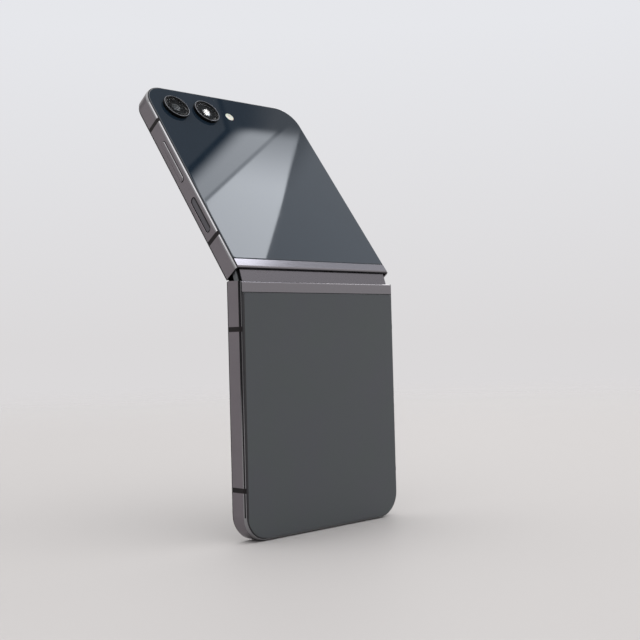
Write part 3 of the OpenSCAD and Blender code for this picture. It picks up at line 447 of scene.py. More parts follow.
def onEnd(x):
    return lambda p, q, t: (x + p, halfLen + t, centreD + q)


def merge(*shapes):
    whole = bmesh.new()
    for shape in shapes:
        part = bpy.data.meshes.new("part")
        shape.to_mesh(part)
        shape.free()
        whole.from_mesh(part)
        bpy.data.meshes.remove(part)
    return whole


def temporary(shape):
    bmesh.ops.recalc_face_normals(shape, faces=shape.faces)
    part = bpy.data.meshes.new("temporary")
    shape.to_mesh(part)
    shape.free()
    made = bpy.data.objects.new("temporary", part)
    bpy.context.scene.collection.objects.link(made)
    return made


def carve(shape, cutters):
    whole = temporary(shape)
    tools = [temporary(c) for c in cutters]
    for tool in tools:
        cut = whole.modifiers.new("cut", "BOOLEAN")
        cut.object, cut.operation, cut.solver = tool, "DIFFERENCE", "EXACT"
    bpy.context.view_layer.update()
    graph = bpy.context.evaluated_depsgraph_get()
    result = bmesh.new()
    result.from_mesh(whole.evaluated_get(graph).to_mesh())
    for item in [whole] + tools:
        bpy.data.objects.remove(item)
    return result


shading = {"weld": 2e-7, "bevelAngle": 40, "bevelSteps": 2, "weight": 80}


# Accents are further finishes, each with the test that picks its faces in plan coordinates.
def makePiece(name, bodyName, shape, look, replaces=(), smooth=32, edge=0.0, accents=(),
              ride=True):
    bmesh.ops.recalc_face_normals(shape, faces=shape.faces)
    for index, (other, chosen) in enumerate(accents, 1):
        for face in shape.faces:
            if chosen(face):
                face.material_index = index
    bmesh.ops.transform(shape, matrix=places[bodyName], verts=shape.verts)
    bmesh.ops.remove_doubles(shape, verts=shape.verts, dist=shading["weld"])
    bmesh.ops.recalc_face_normals(shape, faces=shape.faces)
    skin = bpy.data.meshes.new(name)
    shape.to_mesh(skin)
    shape.free()
    skin.shade_smooth()
    skin.set_sharp_from_angle(angle=math.radians(smooth))
    made = bpy.data.objects.new(name, skin)
    bpy.context.scene.collection.objects.link(made)
    skin.materials.append(looks[look])
    for other, chosen in accents:
        skin.materials.append(looks[other])
    if edge:
        bevel = made.modifiers.new("edge", "BEVEL")
        bevel.width, bevel.segments, bevel.limit_method = edge * mm, shading["bevelSteps"], "ANGLE"
        bevel.angle_limit, bevel.harden_normals = math.radians(shading["bevelAngle"]), True
    weigh = made.modifiers.new("weigh", "WEIGHTED_NORMAL")
    weigh.keep_sharp, weigh.weight = True, shading["weight"]
    if ride:
        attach(made, bodyName)
    if replaces:
        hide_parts(*replaces)
    return made


halves = {"lower": "lower_half", "upper": "upper_half"}

# Frames: rails swept round each half, with the cross wall and plates inside. Section points are (x from the
# outer outline, d), and the bands share the rail's outer face.
outerFace = [(-0.54, 0.75), (-0.54, 0.245), (-0.28, 0.3), (-0.1, 0.78), (0, 1.2), (0, 6.1), (-0.35, 6.45)]
rail = {"section": [(-1.9, 0.75)] + outerFace + [(-1.25, 6.45), (-1.25, 5.9), (-1.9, 5.9)], "soft": 0.05,
        "inset": 1.85, "wall": 1, "wallD": (1.35, 5.3), "shelf": 5.8, "shelfD": (4.7, 5.28),
        "plateStart": 12.3, "plateD": (5.32, 5.88)}
band = {"section": [(-0.82, 0.75)] + outerFace + [(-0.82, 6.45)], "depth": 0.82, "half": 0.78,
        "lower": (15.7, halfLen - 16.45), "upper": (15.0, halfLen - 16.95)}
ports = {"usbW": 9.04, "usbH": 3.3, "flare": 0.22, "holeR": 0.5, "holeX": 9.5, "holePitch": 1.9, "holes": 5,
         "micR": 0.4, "micX": 9.5, "rim": 0.1}
volumeKey = {"u": 48.8, "length": 17.6, "width": 1.9, "gap": 0.16, "proud": 0.33, "fillet": 0.3,
             "crown": 0.02}
sideKey = {"u": 25.2, "length": 14.2, "width": 2.5, "gap": 0.1, "proud": -0.22, "fillet": 0.24,
           "crown": -0.03, "shadeD": 0.66, "shadeU": 0.5}
keys = {"flare": 0.08, "back": -2.38, "shoulder": -2.0, "flange": 0.5, "crownShare": 0.42, "rimSlope": 0.2}
tray = {"u": 52.0, "length": 15.0, "width": 2.0, "gap": 0.05, "flare": 0.05, "capBack": -0.8, "round": 0.05,
        "pin": (0.81, 0.8), "pinIn": 0.9, "slab": ((21.05, halfW - 0.75), (45.8, 58.2), (3.0, 3.9)),
        "well": ((21.85, 33), (46.6, 57.4), (3.3, 5))}
opening = {"out": 0.4, "wider": 0.2, "deep": -3.5, "steps": 24}  # every opening flares toward the outside


def openingLevels(flare, gap=0.0):
    return [(opening["out"], flare + gap + opening["wider"]), (0.0, flare + gap), (-flare, gap),
            (opening["deep"], gap)]


def roundHole(x, radius):
    steps = opening["steps"]
    return loft([[(x + (radius + g) * math.cos(a), halfLen + t, centreD + (radius + g) * math.sin(a))
                  for a in (2 * math.pi * i / steps for i in range(steps))]
                 for t, g in openingLevels(ports["rim"])])


def sideSlot(side, piece, flare):
    return pillLoft(piece["length"], piece["width"], openingLevels(flare, piece["gap"]),
                    onSide(side, piece["u"]))


def frameShape(half):
    shape = rimSweep(soften(rail["section"], rail["soft"]))
    through = (-1, thick + 1)
    foldRoom = (-halfW + body["skin"], halfW - body["skin"])
    cutters = [brick(foldRoom, (-1, body["pocketU"]), through)]
    for side in (-1, 1):
        for u in band[half]:
            x = sorted((side * (halfW - band["depth"]), side * (halfW + 1)))
            cutters.append(brick(x, (u - band["half"], u + band["half"]), through))
    if half == "lower":
        cutters.append(pillLoft(ports["usbW"], ports["usbH"], openingLevels(ports["flare"]), onEnd(0)))
        for i in range(ports["holes"]):
            cutters.append(roundHole(ports["holeX"] + i * ports["holePitch"], ports["holeR"]))
        cutters.append(roundHole(-ports["micX"], ports["micR"]))
    else:
        cutters.append(roundHole(ports["micX"], ports["micR"]))
        cutters.append(sideSlot(-1, volumeKey, keys["flare"]))
        cutters.append(sideSlot(-1, sideKey, keys["flare"]))
        cutters.append(sideSlot(1, tray, tray["flare"]))
    shape = carve(shape, cutters)
    inner, start = halfW - rail["inset"], body["pocketU"]
    wall = brick((-inner, inner), (start, start + rail["wall"]), rail["wallD"])
    shelf = brick((-inner, inner), (start, start + rail["shelf"]), rail["shelfD"])
    outline = rimPath(rail["inset"], rail["plateStart"])
    plate = loft([[(x, u, d) for x, u in outline] for d in rail["plateD"]])
    return merge(shape, wall, shelf, plate)


# Which faces of the rails are cut bright and which are painted black as painted shade, by how far they lean
# and where they lie.
rim = {"sideIn": 1.2, "cutLean": 0.12, "cutOuterD": 1.19, "cutInnerD": 6.11, "lowerLean": (-0.6, -0.28),
       "lowerD": 1.0, "lowerPast": 0.5, "upperLean": -0.8, "upperD": 0.32}


def onRim(middle):
    return abs(middle.x) > halfW - rim["sideIn"] or middle.y > halfLen - corner


def cutEdge(face):
    middle = face.calc_center_median()
    outer = face.normal.z < -rim["cutLean"] and middle.z < rim["cutOuterD"]
    inner = face.normal.z > rim["cutLean"] and middle.z > rim["cutInnerD"]
    return (outer or inner) and onRim(middle)


# The lower rail's chamfer on the left side is painted black: painted shade.
def lowerShade(face):
    middle = face.calc_center_median()
    leans = rim["lowerLean"][0] < face.normal.z < rim["lowerLean"][1]
    left = middle.x < 0 and middle.y < halfLen - corner + rim["lowerPast"]
    return leans and left and middle.z < rim["lowerD"]


# The upper rail's lip by the glass is painted black: painted shade of the gap to the glass.
def upperShade(face):
    middle = face.calc_center_median()
    return face.normal.z < rim["upperLean"] and middle.z < rim["upperD"] and onRim(middle)


for half, bodyName in halves.items():
    makePiece(half + "_rails", bodyName, frameShape(half), "rail", [half + "_frame"],
              accents=[("chamfer", cutEdge), ("paintedShade", lowerShade if half == "lower" else upperShade)])
    strips = []
    for side in (-1, 1):
        for u in band[half]:
            strips.append(loft([[(side * (halfW + a), v, d) for a, d in band["section"]]
                                for v in (u - band["half"], u + band["half"])]))
    makePiece(half + "_bands", bodyName, merge(*strips), "band", [half + "_antenna_bands"])
print("stage: rails swept and cut")

# Glass plates with polished edges, and the adhesive bead that fills the gap to the rail.
# The print width is the extra inset of a flat border along the straight sides; on the back glass's left side
# that border carries painted shade.
glass = {"inset": 0.6, "thick": 0.6, "edge": 0.3, "start": 4.15, "steps": 7, "lip": 0.05, "print": 0.6,
         "borderShadeD": 0.5, "faceArea": 500}
cameras = {"x": (-25.5, -12.1), "u": 72.3, "neck": 4.4}
flash = {"x": -0.9, "r": 1.7, "round": 0.04, "flat": 1.5, "rings": 5, "first": 1.42, "pitch": 0.26,
         "step": 0.02, "slope": 0.24, "depth": 0.07}
glassHole = {"clear": 0.03, "d": (-1, 2)}


def glassShape():
    levels = [(glass["inset"], glass["thick"], 0), (glass["inset"], glass["edge"], 0)]
    edge = glass["edge"]
    for a in quarter(glass["steps"], 1):
        levels.append((glass["inset"] + edge * (1 - math.cos(a)), edge * (1 - math.sin(a)), 0))
    levels.append((levels[-1][0] + glass["lip"], 0.0, glass["print"]))
    return outlinePlate(levels, glass["start"])


# The left border of the back glass is painted black as painted shade.
def printedBorder(face):
    middle = face.calc_center_median()
    return middle.x < 0 and middle.z < glass["borderShadeD"] and face.calc_area() < glass["faceArea"]


makePiece("satin_back", "lower_half", glassShape(), "satinGlass", ["lower_back_glass"],
          accents=[("printed", printedBorder)])
holes = []
for x, r, steps in [(x, cameras["neck"], 72) for x in cameras["x"]] + [(flash["x"], flash["r"], 48)]:
    holes.append(lathe([(r + glassHole["clear"], d) for d in glassHole["d"]], x, cameras["u"], steps))
makePiece("glossy_cover", "upper_half", carve(glassShape(), holes), "coverGlass",
          ["cover_glass"])
gasket = {"bead": [(-0.6, 0.4), (-0.54, 0.4), (-0.54, 0.74), (-0.6, 0.74)],
          "frame": [(-1.7, 0.61), (-0.6, 0.61), (-0.6, 0.74), (-1.7, 0.74)],
          "beadStart": glass["start"] - 0.1, "frameStart": glass["start"] + 1.1,
          "inner": halfW - 1.7, "d": (0.61, 0.74)}
for half, bodyName in halves.items():
    bead = rimSweep(gasket["bead"], gasket["beadStart"])
    flat = rimSweep(gasket["frame"], gasket["frameStart"])
    across = brick((-gasket["inner"], gasket["inner"]), (glass["start"], gasket["frameStart"]), gasket["d"])
    makePiece(half + "_adhesive", bodyName, merge(bead, flat, across), "gasket",
              [half + "_glass_gasket"])
print("stage: glass plates made")

# Hinge strips, the spine between them and its end caps. Section points are (u, d).
strip = {"end": 35.33, "first": 0.6, "round": 0.7, "roundSteps": 12, "edge": 0.07, "turnedLean": -0.8,
         "turnedD": 0.8,
         "rest": [(4.05, 0), (4.05, 0.75), (6.85, 0.75), (6.85, 1.3), (4.15, 1.3), (3.55, 0.8), (0.6, 0.8)]}
spine = {"end": 33.98, "r": 4.5, "wall": 0.5, "top": 5.4, "edge": 0.12,
         "notch": ((-6.5, 6.5), (-9, 9), (4.7, 8)),
         "sealR": 3.6, "sealWall": 0.6, "sealStart": 0.3, "sealEnd": 34.5,
         "capR": 3.6, "capEnd": 35.2, "capBore": 2.05, "capEdge": 0.1, "boreSteps": 48}


def stripShape():
    r = strip["round"]
    arc = [(strip["first"] + r - r * math.cos(a), r - r * math.sin(a)) for a in quarter(strip["roundSteps"])]
    return acrossX(arc + strip["rest"], -strip["end"], strip["end"])


# Half a ring's outline round both axes, cut off level at the top.
def stadium(r, steps=20):
    a = body["axisU"]
    drop = math.asin((body["axisD"] - spine["top"]) / r)
    left = [(-a - r * math.cos(t), body["axisD"] - r * math.sin(t))
            for t in (drop + (math.pi / 2 - drop) * i / steps for i in range(steps + 1))]
    return left + [(-s, d) for s, d in reversed(left)]


def shellShape(r, wall, x0, x1):
    return acrossX(stadium(r) + list(reversed(stadium(r - wall))), x0, x1)


# Where the upper strip turns in toward the spine it is painted black, as painted shade of the gap above the
# spine.
def turnedInShade(face):
    return face.normal.y < strip["turnedLean"] and face.calc_center_median().z < strip["turnedD"]


for half, bodyName in halves.items():
    makePiece(half + "_fold_strip", bodyName, stripShape(), "strip",
              [half + "_hinge_strip"], edge=strip["edge"],
              accents=[("paintedShade", turnedInShade)] if half == "upper" else [])
cover = shellShape(spine["r"], spine["wall"], -spine["end"], spine["end"])
makePiece("spine_shell", "spine", carve(cover, [brick(*spine["notch"])]), "spine",
          ["spine_cover"], edge=spine["edge"])
seals = [shellShape(spine["sealR"], spine["sealWall"], side * (spine["end"] - spine["sealStart"]),
                    side * spine["sealEnd"]) for side in (-1, 1)]
makePiece("spine_seals", "spine", merge(*seals), "gasket")


# End cap: bored round both axes, where the halves' ends turn.
def capShape(side):
    cap = acrossX(stadium(spine["capR"]), side * spine["sealEnd"], side * spine["capEnd"])
    bore, middle, past = spine["capBore"], body["axisD"], halfW + 1
    cutters = [brick((-past, past), (-body["axisU"], body["axisU"]), (middle - bore, middle + bore))]
    angles = [2 * math.pi * i / spine["boreSteps"] for i in range(spine["boreSteps"])]
    for u in (-body["axisU"], body["axisU"]):
        circle = [(u + bore * math.cos(a), middle + bore * math.sin(a)) for a in angles]
        cutters.append(acrossX(circle, -past, past))
    return carve(cap, cutters)


makePiece("spine_caps", "spine", merge(capShape(-1), capShape(1)), "cap",
          ["spine_end_caps"], edge=spine["capEdge"])
print("stage: fold strips and spine made")

# Bezel round the folding screen and its rubber stops.
bezel = {"out": 0.33, "width": 2.3, "low": 6.45, "high": 6.9, "soft": 0.16, "softSteps": 4}
stop = {"r": 0.6, "low": 6.9, "high": 7.25, "round": 0.25, "roundSteps": 6,
        "x": halfW - 0.28 - bezel["width"] / 2,
        "u": (2 * thick, halfLen / 2, halfLen - 2 * corner), "sides": 32}


def bezelShape():
    a, b = -bezel["out"], -bezel["out"] - bezel["width"]
    corners = [(b, bezel["low"]), (a, bezel["low"]), (a, bezel["high"]), (b, bezel["high"])]
    return rimSweep(soften(corners, bezel["soft"], bezel["softSteps"]))


for half, bodyName in halves.items():
    makePiece(half + "_bezel_rim", bodyName, bezelShape(), "bezel", [half + "_bezel"])
dome = [(stop["r"], stop["low"]), (stop["r"], stop["high"])]
for a in quarter(stop["roundSteps"], 1):
    dome.append((stop["r"] - stop["round"] * (1 - math.cos(a)), stop["high"] + stop["round"] * math.sin(a)))
stops = [lathe(dome, side * stop["x"], u, stop["sides"]) for side in (-1, 1) for u in stop["u"]]
makePiece("bezel_bumpers", "lower_half", merge(*stops), "rubber", ["bezel_stops"])

# The bending part of the screen, and the flat cable that bends under it. Each reaches as far as "bend" from
# the fold, lies straight beyond easeU and turns with the fold nearer in.
screen = {"front": 6.4, "back": 5.9, "halfW": 34.65, "bend": 6.7}
cable = {"front": 5.25, "back": 5.1, "halfW": 6.0, "bend": 7.45}
easeU = 4.2


# Path of a bending layer in the spine's plane: straight on each half, one arc over each axis.
def bendPath(offset, reach, steps=14):
    a = body["axisU"]
    turn = math.radians(body["restFold"])
    rise = offset - body["axisD"]
    made = []
    for i in range(steps + 1):
        flat = reach * (1 - i / steps)
        rest = min(1, flat / easeU)
        angle = turn * (rest * rest * (3 - 2 * rest))
        along = flat - a
        made.append((-a - along * math.cos(angle) + rise * math.sin(angle),
                     body["axisD"] + max(0, along) * math.sin(angle) + rise * math.cos(angle)))
    return made


def bendShape(layer):
    front, back = bendPath(layer["front"], layer["bend"]), bendPath(layer["back"], layer["bend"])
    return acrossX(front + list(reversed(back)), -layer["halfW"], layer["halfW"])


def flipped(shape):
    bmesh.ops.transform(shape, matrix=Matrix.Scale(-1, 4, (0, 1, 0)), verts=shape.verts)
    return shape


for name, layer, look, slot, solid in (("screen_bend", screen, "screen", "fold_screen", "screen_fold"),
                                       ("cable_bend", cable, "flex", "polyimide_flex", "fold_flex")):
    for half, bodyName in halves.items():
        shape = bendShape(layer) if half == "lower" else flipped(bendShape(layer))
        made = makePiece(half + "_" + name, "spine", shape, look, [solid] if half == "lower" else [],
                         ride=False, smooth=60)
        if half == "lower":
            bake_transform(made)
        else:
            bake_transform(made)
print("stage: folding screen and bezel made")

# Camera rings, their windows and the lens stack behind each. Profile points are (radius, d).
lens = {"rim": 4.93, "rimWidth": 0.2, "rimD": -1.2, "bevelR": 4.14, "seatR": 4.06, "ringSteps": 96,
        "soft": 0.03, "ringBlackAndShade": (0.02, 4.97, -1.1),
        "paneR": 3.96, "paneFlat": 3.86, "paneBack": -0.42, "paneTop": -1.0}
ringProfile = [(4.1, 0.75), (4.4, 0.75), (4.4, 0.0), (5.0, 0.0), (5.0, -1.12), (lens["rim"], lens["rimD"]),
               (lens["rim"] - lens["rimWidth"], lens["rimD"]), (4.55, -1.08), (lens["bevelR"], -0.97),
               (lens["seatR"], -0.9), (lens["seatR"], -0.4), (3.65, -0.4), (3.65, -0.1), (4.1, -0.1)]
paneProfile = [(tiny, lens["paneBack"]), (lens["paneR"], lens["paneBack"]), (4.0, lens["paneBack"]),
               (4.03, -0.46), (4.03, -0.9), (3.98, -0.97), (3.9, lens["paneTop"]),
               (lens["paneFlat"], lens["paneTop"]), (tiny, lens["paneTop"])]


def ringShape(x):
    profile = soften(ringProfile, lens["soft"])
    steps = lens["ringSteps"]
    turns = [(math.cos(2 * math.pi * i / steps), math.sin(2 * math.pi * i / steps)) for i in range(steps)]
    rings = [[(x + r * c, cameras["u"] + r * s, d) for r, d in profile] for c, s in turns]
    return loft(rings + [rings[0]], False)


# Everything but the bright top of the rim gets the barrel's black: black inside the ring, and painted shade
# on its outer wall.
def ringBlackAndShade(face):
    middle = face.calc_center_median()
    slack, most, d = lens["ringBlackAndShade"]
    r = min(math.hypot(middle.x - x, middle.y - cameras["u"]) for x in cameras["x"])
    return not (lens["rim"] - lens["rimWidth"] - slack < r < most and middle.z < d)


makePiece("lens_rims", "upper_half", merge(*[ringShape(x) for x in cameras["x"]]), "ring",
          ["camera_rings"], accents=[("barrel", ringBlackAndShade)])
panes = [lathe(paneProfile, x, cameras["u"], lens["ringSteps"]) for x in cameras["x"]]
makePiece("lens_panes", "upper_half", merge(*panes), "lensGlass", ["lens_windows"])
# Stepped black cone with baffle rings round a domed, coated element.
barrel = {"mouth": 3.62, "mouthD": (-0.38, -0.1), "steps": 5, "stepIn": 0.36, "stepDown": 0.04, "lip": 0.03,
          "seatD": 0.2, "seatIn": 0.02, "wallR": 3.64, "boxHalf": 4.5, "boxD": (2.2, 5.3)}
element = {"r": 1.75, "back": 0.15, "top": -0.28, "bulge": 20.0, "rings": 20, "sides": 64}
cone = [(barrel["wallR"], barrel["boxD"][0])] + [(barrel["mouth"], d) for d in barrel["mouthD"]]
for i in range(barrel["steps"]):
    r = barrel["mouth"] - barrel["stepIn"] * (i + 1)
    d = barrel["mouthD"][1] + barrel["stepDown"] * i
    cone += [(r, d), (r, d + barrel["lip"])]
cone += [(element["r"] - barrel["seatIn"], barrel["seatD"]), (tiny, barrel["seatD"])]
dome = [(element["r"], element["back"])]
for i in range(element["rings"] + 1):
    r = element["r"] * (1 - i / element["rings"])
    sag = element["bulge"] - math.sqrt(element["bulge"] ** 2 - r ** 2)
    dome.append((max(r, tiny), element["top"] + sag))
for side, x in zip(("outer", "inner"), cameras["x"]):
    u, reach = cameras["u"], barrel["boxHalf"]
    box = brick((x - reach, x + reach), (u - reach, u + reach), barrel["boxD"])
    whole = merge(lathe(cone, x, u, closedEnds=False), box)
    makePiece("lens_barrel_" + side, "upper_half", whole, "barrel",
              ["camera_modules"] if side == "outer" else [])
    makePiece("lens_element_" + side, "upper_half", lathe(dome, x, u, element["sides"]), side + "Element")
# Flash diffuser with moulded rings.
profile = [(flash["r"], glass["thick"]), (flash["r"], flash["round"]), (flash["r"] - flash["round"], 0.0),
           (flash["flat"], 0.0)]
for i in range(flash["rings"]):
    r = flash["first"] - flash["pitch"] * i
    profile += [(r, 0.0), (r - flash["step"], flash["depth"]), (r - flash["slope"], 0.0)]
makePiece("flash_diffuser", "upper_half", lathe(profile + [(tiny, 0.0)], flash["x"], cameras["u"], 64),
          "diffuser", ["flash_window"])
print("stage: cameras and flash made")


# Keys and card tray: pills with rounded rims and a slight crown.
def keyShape(key):
    proud, fillet = key["proud"], key["fillet"]
    levels = [(keys["back"], keys["flange"]), (keys["shoulder"], keys["flange"]), (keys["shoulder"], 0.0),
              (proud - fillet, 0.0)]
    for a in quarter(5, 1):
        levels.append((proud - fillet * (1 - math.sin(a)), -fillet * (1 - math.cos(a))))
    crownIn = key["width"] * keys["crownShare"] - fillet
    for t in (0.25, 0.5, 0.75, 1.0):
        levels.append((proud + key["crown"] * (1 - (1 - t) ** 2), -fillet - crownIn * t))
    return pillLoft(key["length"], key["width"], levels, onSide(-1, key["u"]), 16)


def keyRim(face):
    return abs(face.calc_center_median().x) > halfW and abs(face.normal.z) > keys["rimSlope"]


# The side key's edge toward the outer face and its end toward the fold are painted black, as painted shade of
# the recess.
def keyShade(face):
    middle = face.calc_center_median()
    below = middle.z < centreD - sideKey["width"] / 2 + sideKey["shadeD"]
    return below or middle.y < sideKey["u"] - sideKey["length"] / 2 + sideKey["shadeU"]


makePiece("volume_rocker", "volume_button", keyShape(volumeKey), "rail", ["volume_key"],
          accents=[("chamfer", keyRim)])
makePiece("sensor_key", "side_button", keyShape(sideKey), "darkKey", ["side_key"],
          accents=[("paintedShade", keyShade)])
capLevels = [(tray["capBack"], 0), (-tray["round"], 0), (0, -tray["round"])]
trayCap = pillLoft(tray["length"], tray["width"], capLevels, onSide(1, tray["u"]), 16)
pinU = tray["u"] + tray["length"] / 2 - tray["pinIn"]
pinHole = pillLoft(*tray["pin"], [(-1, 0), (1, 0)], onSide(1, pinU), 12)
slab = carve(brick(*tray["slab"]), [brick(*tray["well"])])
makePiece("card_drawer", "tray", merge(carve(trayCap, [pinHole]), slab), "rail",
          ["card_tray"])
# Plug socket: drawn steel shell with a rolled mouth, and the tongue with its contacts. Shell points are
# (depth from the end, growth).
socket = {"size": (8.94, 3.2), "steps": 14, "edge": 0.1,
          "tongue": ((-3.35, 3.35), (74.85, 80.85), (3.1, 3.8)),
          "shell": [(-8.0, 0.0), (-0.45, 0.0), (-0.32, -0.04), (-0.3, -0.15), (-0.38, -0.28), (-0.5, -0.3),
                    (-7.7, -0.3)]}
contact = {"count": 12, "first": -2.75, "pitch": 0.5, "half": 0.125, "u": (78.2, 80.5), "d": (3.08, 3.79),
           "thick": 0.03}
shell = pillLoft(*socket["size"], socket["shell"], onEnd(0), socket["steps"])
makePiece("socket_shell", "lower_half", shell, "can", ["usb_socket"])
makePiece("socket_tongue", "lower_half", brick(*socket["tongue"]), "polymer",
          ["usb_tongue"], edge=socket["edge"])
contacts = []
for d in contact["d"]:
    for i in range(contact["count"]):
        x = contact["first"] + contact["pitch"] * i
        contacts.append(brick((x - contact["half"], x + contact["half"]), contact["u"],
                              (d, d + contact["thick"])))
makePiece("socket_contacts", "lower_half", merge(*contacts), "gold")
print("stage: keys, tray and socket made")

# Finishes of the solids that stay as they are.
kept = {
    "plate": ["lower_hinge_plate", "upper_hinge_plate"],
    "steel": ["lower_hinge_arms", "upper_hinge_arms", "hinge_brackets"],
    "brass": ["lower_shaft_gears", "lower_idler_gears", "upper_idler_gears", "upper_shaft_gears"],
    "pouch": ["lower_battery", "upper_battery"], "coil": ["charging_coil"], "ferrite": ["coil_shield"],
    "board": ["usb_board", "main_board"], "mesh": ["speaker_mesh"],
    "can": ["vibration_motor", "bottom_microphone", "shield_cans", "card_socket"],
    "polymer": ["loudspeaker", "earpiece", "selfie_camera"],
    "flex": ["lower_flex", "upper_flex", "key_switches"],
    "screw": ["lower_screws", "upper_screws"], "nickel": ["lower_magnets", "upper_magnets"],
    "screen": ["lower_screen", "upper_screen"], "phosphor": ["flash_led"], "coverGlass": ["cover_screen"],
}
for look, names in kept.items():
    for name in names:
        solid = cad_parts[name].data
        solid.materials.clear()
        solid.materials.append(looks[look])
print("stage: solids finished")

# Camera fitted to the photograph.
view = {"at": (-0.26409, -0.26026, 0.021895), "right": (0.70349655, -0.71022213, -0.02602181),
        "down": (-0.00616563, 0.03051397, -0.99951532), "forward": (0.71067193, 0.70331602, 0.01708751),
        "lens": 62.4, "sensor": 36.0, "clip": (0.01, 50), "pixels": 640}
camera = bpy.data.objects.new("camera", bpy.data.cameras.new("camera"))
bpy.context.scene.collection.objects.link(camera)
axes = [Vector(view["right"]), -Vector(view["down"]), -Vector(view["forward"])]
turn = Matrix([[axes[j][i] for j in range(3)] for i in range(3)])
camera.matrix_world = Matrix.Translation(view["at"]) @ turn.to_4x4()
camera.data.lens, camera.data.sensor_width = view["lens"], view["sensor"]
camera.data.clip_start, camera.data.clip_end = view["clip"]
bpy.context.scene.camera = camera

# Pale room: brighter overhead, plain to the camera, with the soft lamps and black flags of a product shot.
# Heights are sines of the angle above the horizon.
room = {"side": 0.8, "sideTo": 0.35, "top": 1.7, "topFrom": 0.95, "tint": (1.0, 0.985, 0.975),
        "seenLow": "#dbd9da", "seenHigh": "#e6e7eb", "seenTop": 0.27}


# The direction in which a face of the given normal mirrors the room at a pixel of the photograph's frame.
def mirrored(px, py, facing):
    middle = view["pixels"] / 2
    focal = view["lens"] / view["sensor"] * view["pixels"]
    across = (px - middle) / focal * Vector(view["right"])
    ray = Vector(view["forward"]) + across + (py - middle) / focal * Vector(view["down"])
    ray.normalize()
    return ray - 2 * ray.dot(facing) * facing


def compass(azimuth, elevation):
    a, e = math.radians(azimuth), math.radians(elevation)
    return Vector((math.cos(a) * math.cos(e), math.sin(a) * math.cos(e), math.sin(e)))


# Normal of a face on the left of a body, from how far it looks sideways and out of the outer face.
def facing(bodyName, sideways, outward):
    return (places[bodyName].to_3x3() @ Vector((-sideways, 0, -outward))).normalized()


# Normal on the rounded edge of the lower strip, at an angle above the horizon.
def roundOfStrip(angle):
    return Vector((0, -math.cos(math.radians(angle)), math.sin(math.radians(angle))))


onCover = facing("upper_half", 0, 1)
onUpperEdge = facing("upper_half", 0.936, 0.351)
onStrip = [roundOfStrip(angle) for angle in (38, 72, 72, 38)]
cool = (0.94, 0.98, 1.04)
# Each card has its corners, as pixels of the frame on the face that mirrors it or as azimuth and elevation,
# its level, its tint, and how soft each edge is in degrees. Later cards hang in front of earlier ones.
cards = {
    "westFlag": {"compass": [(150, -14), (186, -14), (186, 12), (150, 12)], "level": 0.06,
                 "soft": (3, 3, 3, 3)},
    "northFlag": {"compass": [(84, -16), (110, -16), (110, 24), (84, 24)], "level": 0.05,
                  "soft": (3, 3, 3, 3)},
    "southFlag": {"compass": [(276, -14), (298, -14), (298, 14), (276, 14)], "level": 0.25,
                  "soft": (3, 3, 3, 3)},
    "edgeLamp": {"pixels": [(135, 85), (175, 85), (245, 262), (205, 262)], "face": [onUpperEdge] * 4,
                 "level": 3.4, "soft": (2, 1, 1, 1)},
    "stripLamp": {"pixels": [(225, 282), (225, 282), (310, 283), (310, 283)], "face": onStrip, "level": 6.0,
                  "soft": (1, 3, 4, 2)},
    "rightWall": {"pixels": [(285, 85), (460, 85), (460, 300), (250, 300)], "level": 0.95, "tint": cool,
                  "soft": (1, 1, 1, 1)},
    "dimWall": {"pixels": [(-90, -90), (410, -90), (318, 139), (170, 290), (-90, 290)], "level": 0.42,
                "soft": (1, 0.9, 1.2, 1, 1)},
    "darkWall": {"pixels": [(-90, -90), (262, -90), (262, 134), (170, 240), (-90, 300)], "level": 0.16,
                 "tint": cool, "soft": (1, 1.1, 0.3, 0.5, 1)},
    "leftWall": {"pixels": [(-90, -90), (165, -90), (226, 131), (130, 231), (-90, 300)], "level": 0.26,
                 "tint": cool, "soft": (1, 0.1, 0.1, 0.1, 1)},
    "wideFlag": {"pixels": [(130, 225), (226.5, 128.5), (231, 131), (134, 231)], "level": 0.03,
                 "soft": (0.1, 0.1, 0.1, 0.1)},
    "narrowFlag": {"pixels": [(192.4, 10), (196.4, 10), (230.5, 131), (226.5, 133)], "level": 0.04,
                   "soft": (0.1, 0.1, 0.1, 0.1)},
    "paleBox": {"pixels": [(134, 243), (243, 131), (298, 139), (283, 200), (258, 285), (130, 285)],
                "level": 1.9, "tint": cool, "soft": (0.5, 0.3, 0.08, 0.06, 1, 1)},
    "softBox": {"pixels": [(134, 243), (243, 131), (273.8, 134.5), (157, 242.5)], "level": 3.0, "tint": cool,
                "soft": (0.5, 0.3, 0.07, 1)},
    "boxFront": {"pixels": [(162, 243), (277.4, 136.3), (298, 139), (283, 200), (258, 285), (130, 285)],
                 "level": 2.4, "tint": cool, "soft": (0.07, 0.7, 0.06, 0.06, 1, 1)},
    "boxHeart": {"pixels": [(162, 243), (254, 158), (290, 165), (283, 200), (258, 285), (130, 285)],
                 "level": 5.2, "tint": cool, "soft": (0.07, 1.6, 0.06, 0.06, 1, 1)},
    "spotLamp": {"pixels": [(203.4, 110.4), (206.8, 109.6), (209.5, 113.6), (206.2, 114.8)], "level": 25,
                 "soft": (0.05, 0.05, 0.05, 0.05)},
}
world = bpy.data.worlds.new("pale_room")
bpy.context.scene.world = world
world.use_nodes = True
tree = world.node_tree
tree.nodes.clear()
outlook = add(tree, "TexCoord").outputs["Generated"]
height = add(tree, "SeparateXYZ", {0: outlook}).outputs["Z"]
level = add(tree, "MapRange", {"Value": height, "From Min": room["sideTo"], "From Max": room["topFrom"],
                               "To Min": room["side"], "To Max": room["top"]},
            interpolation_type="SMOOTHSTEP").outputs["Result"]
level = add(tree, "VectorMath", {0: room["tint"], "Scale": level}, operation="SCALE").outputs["Vector"]
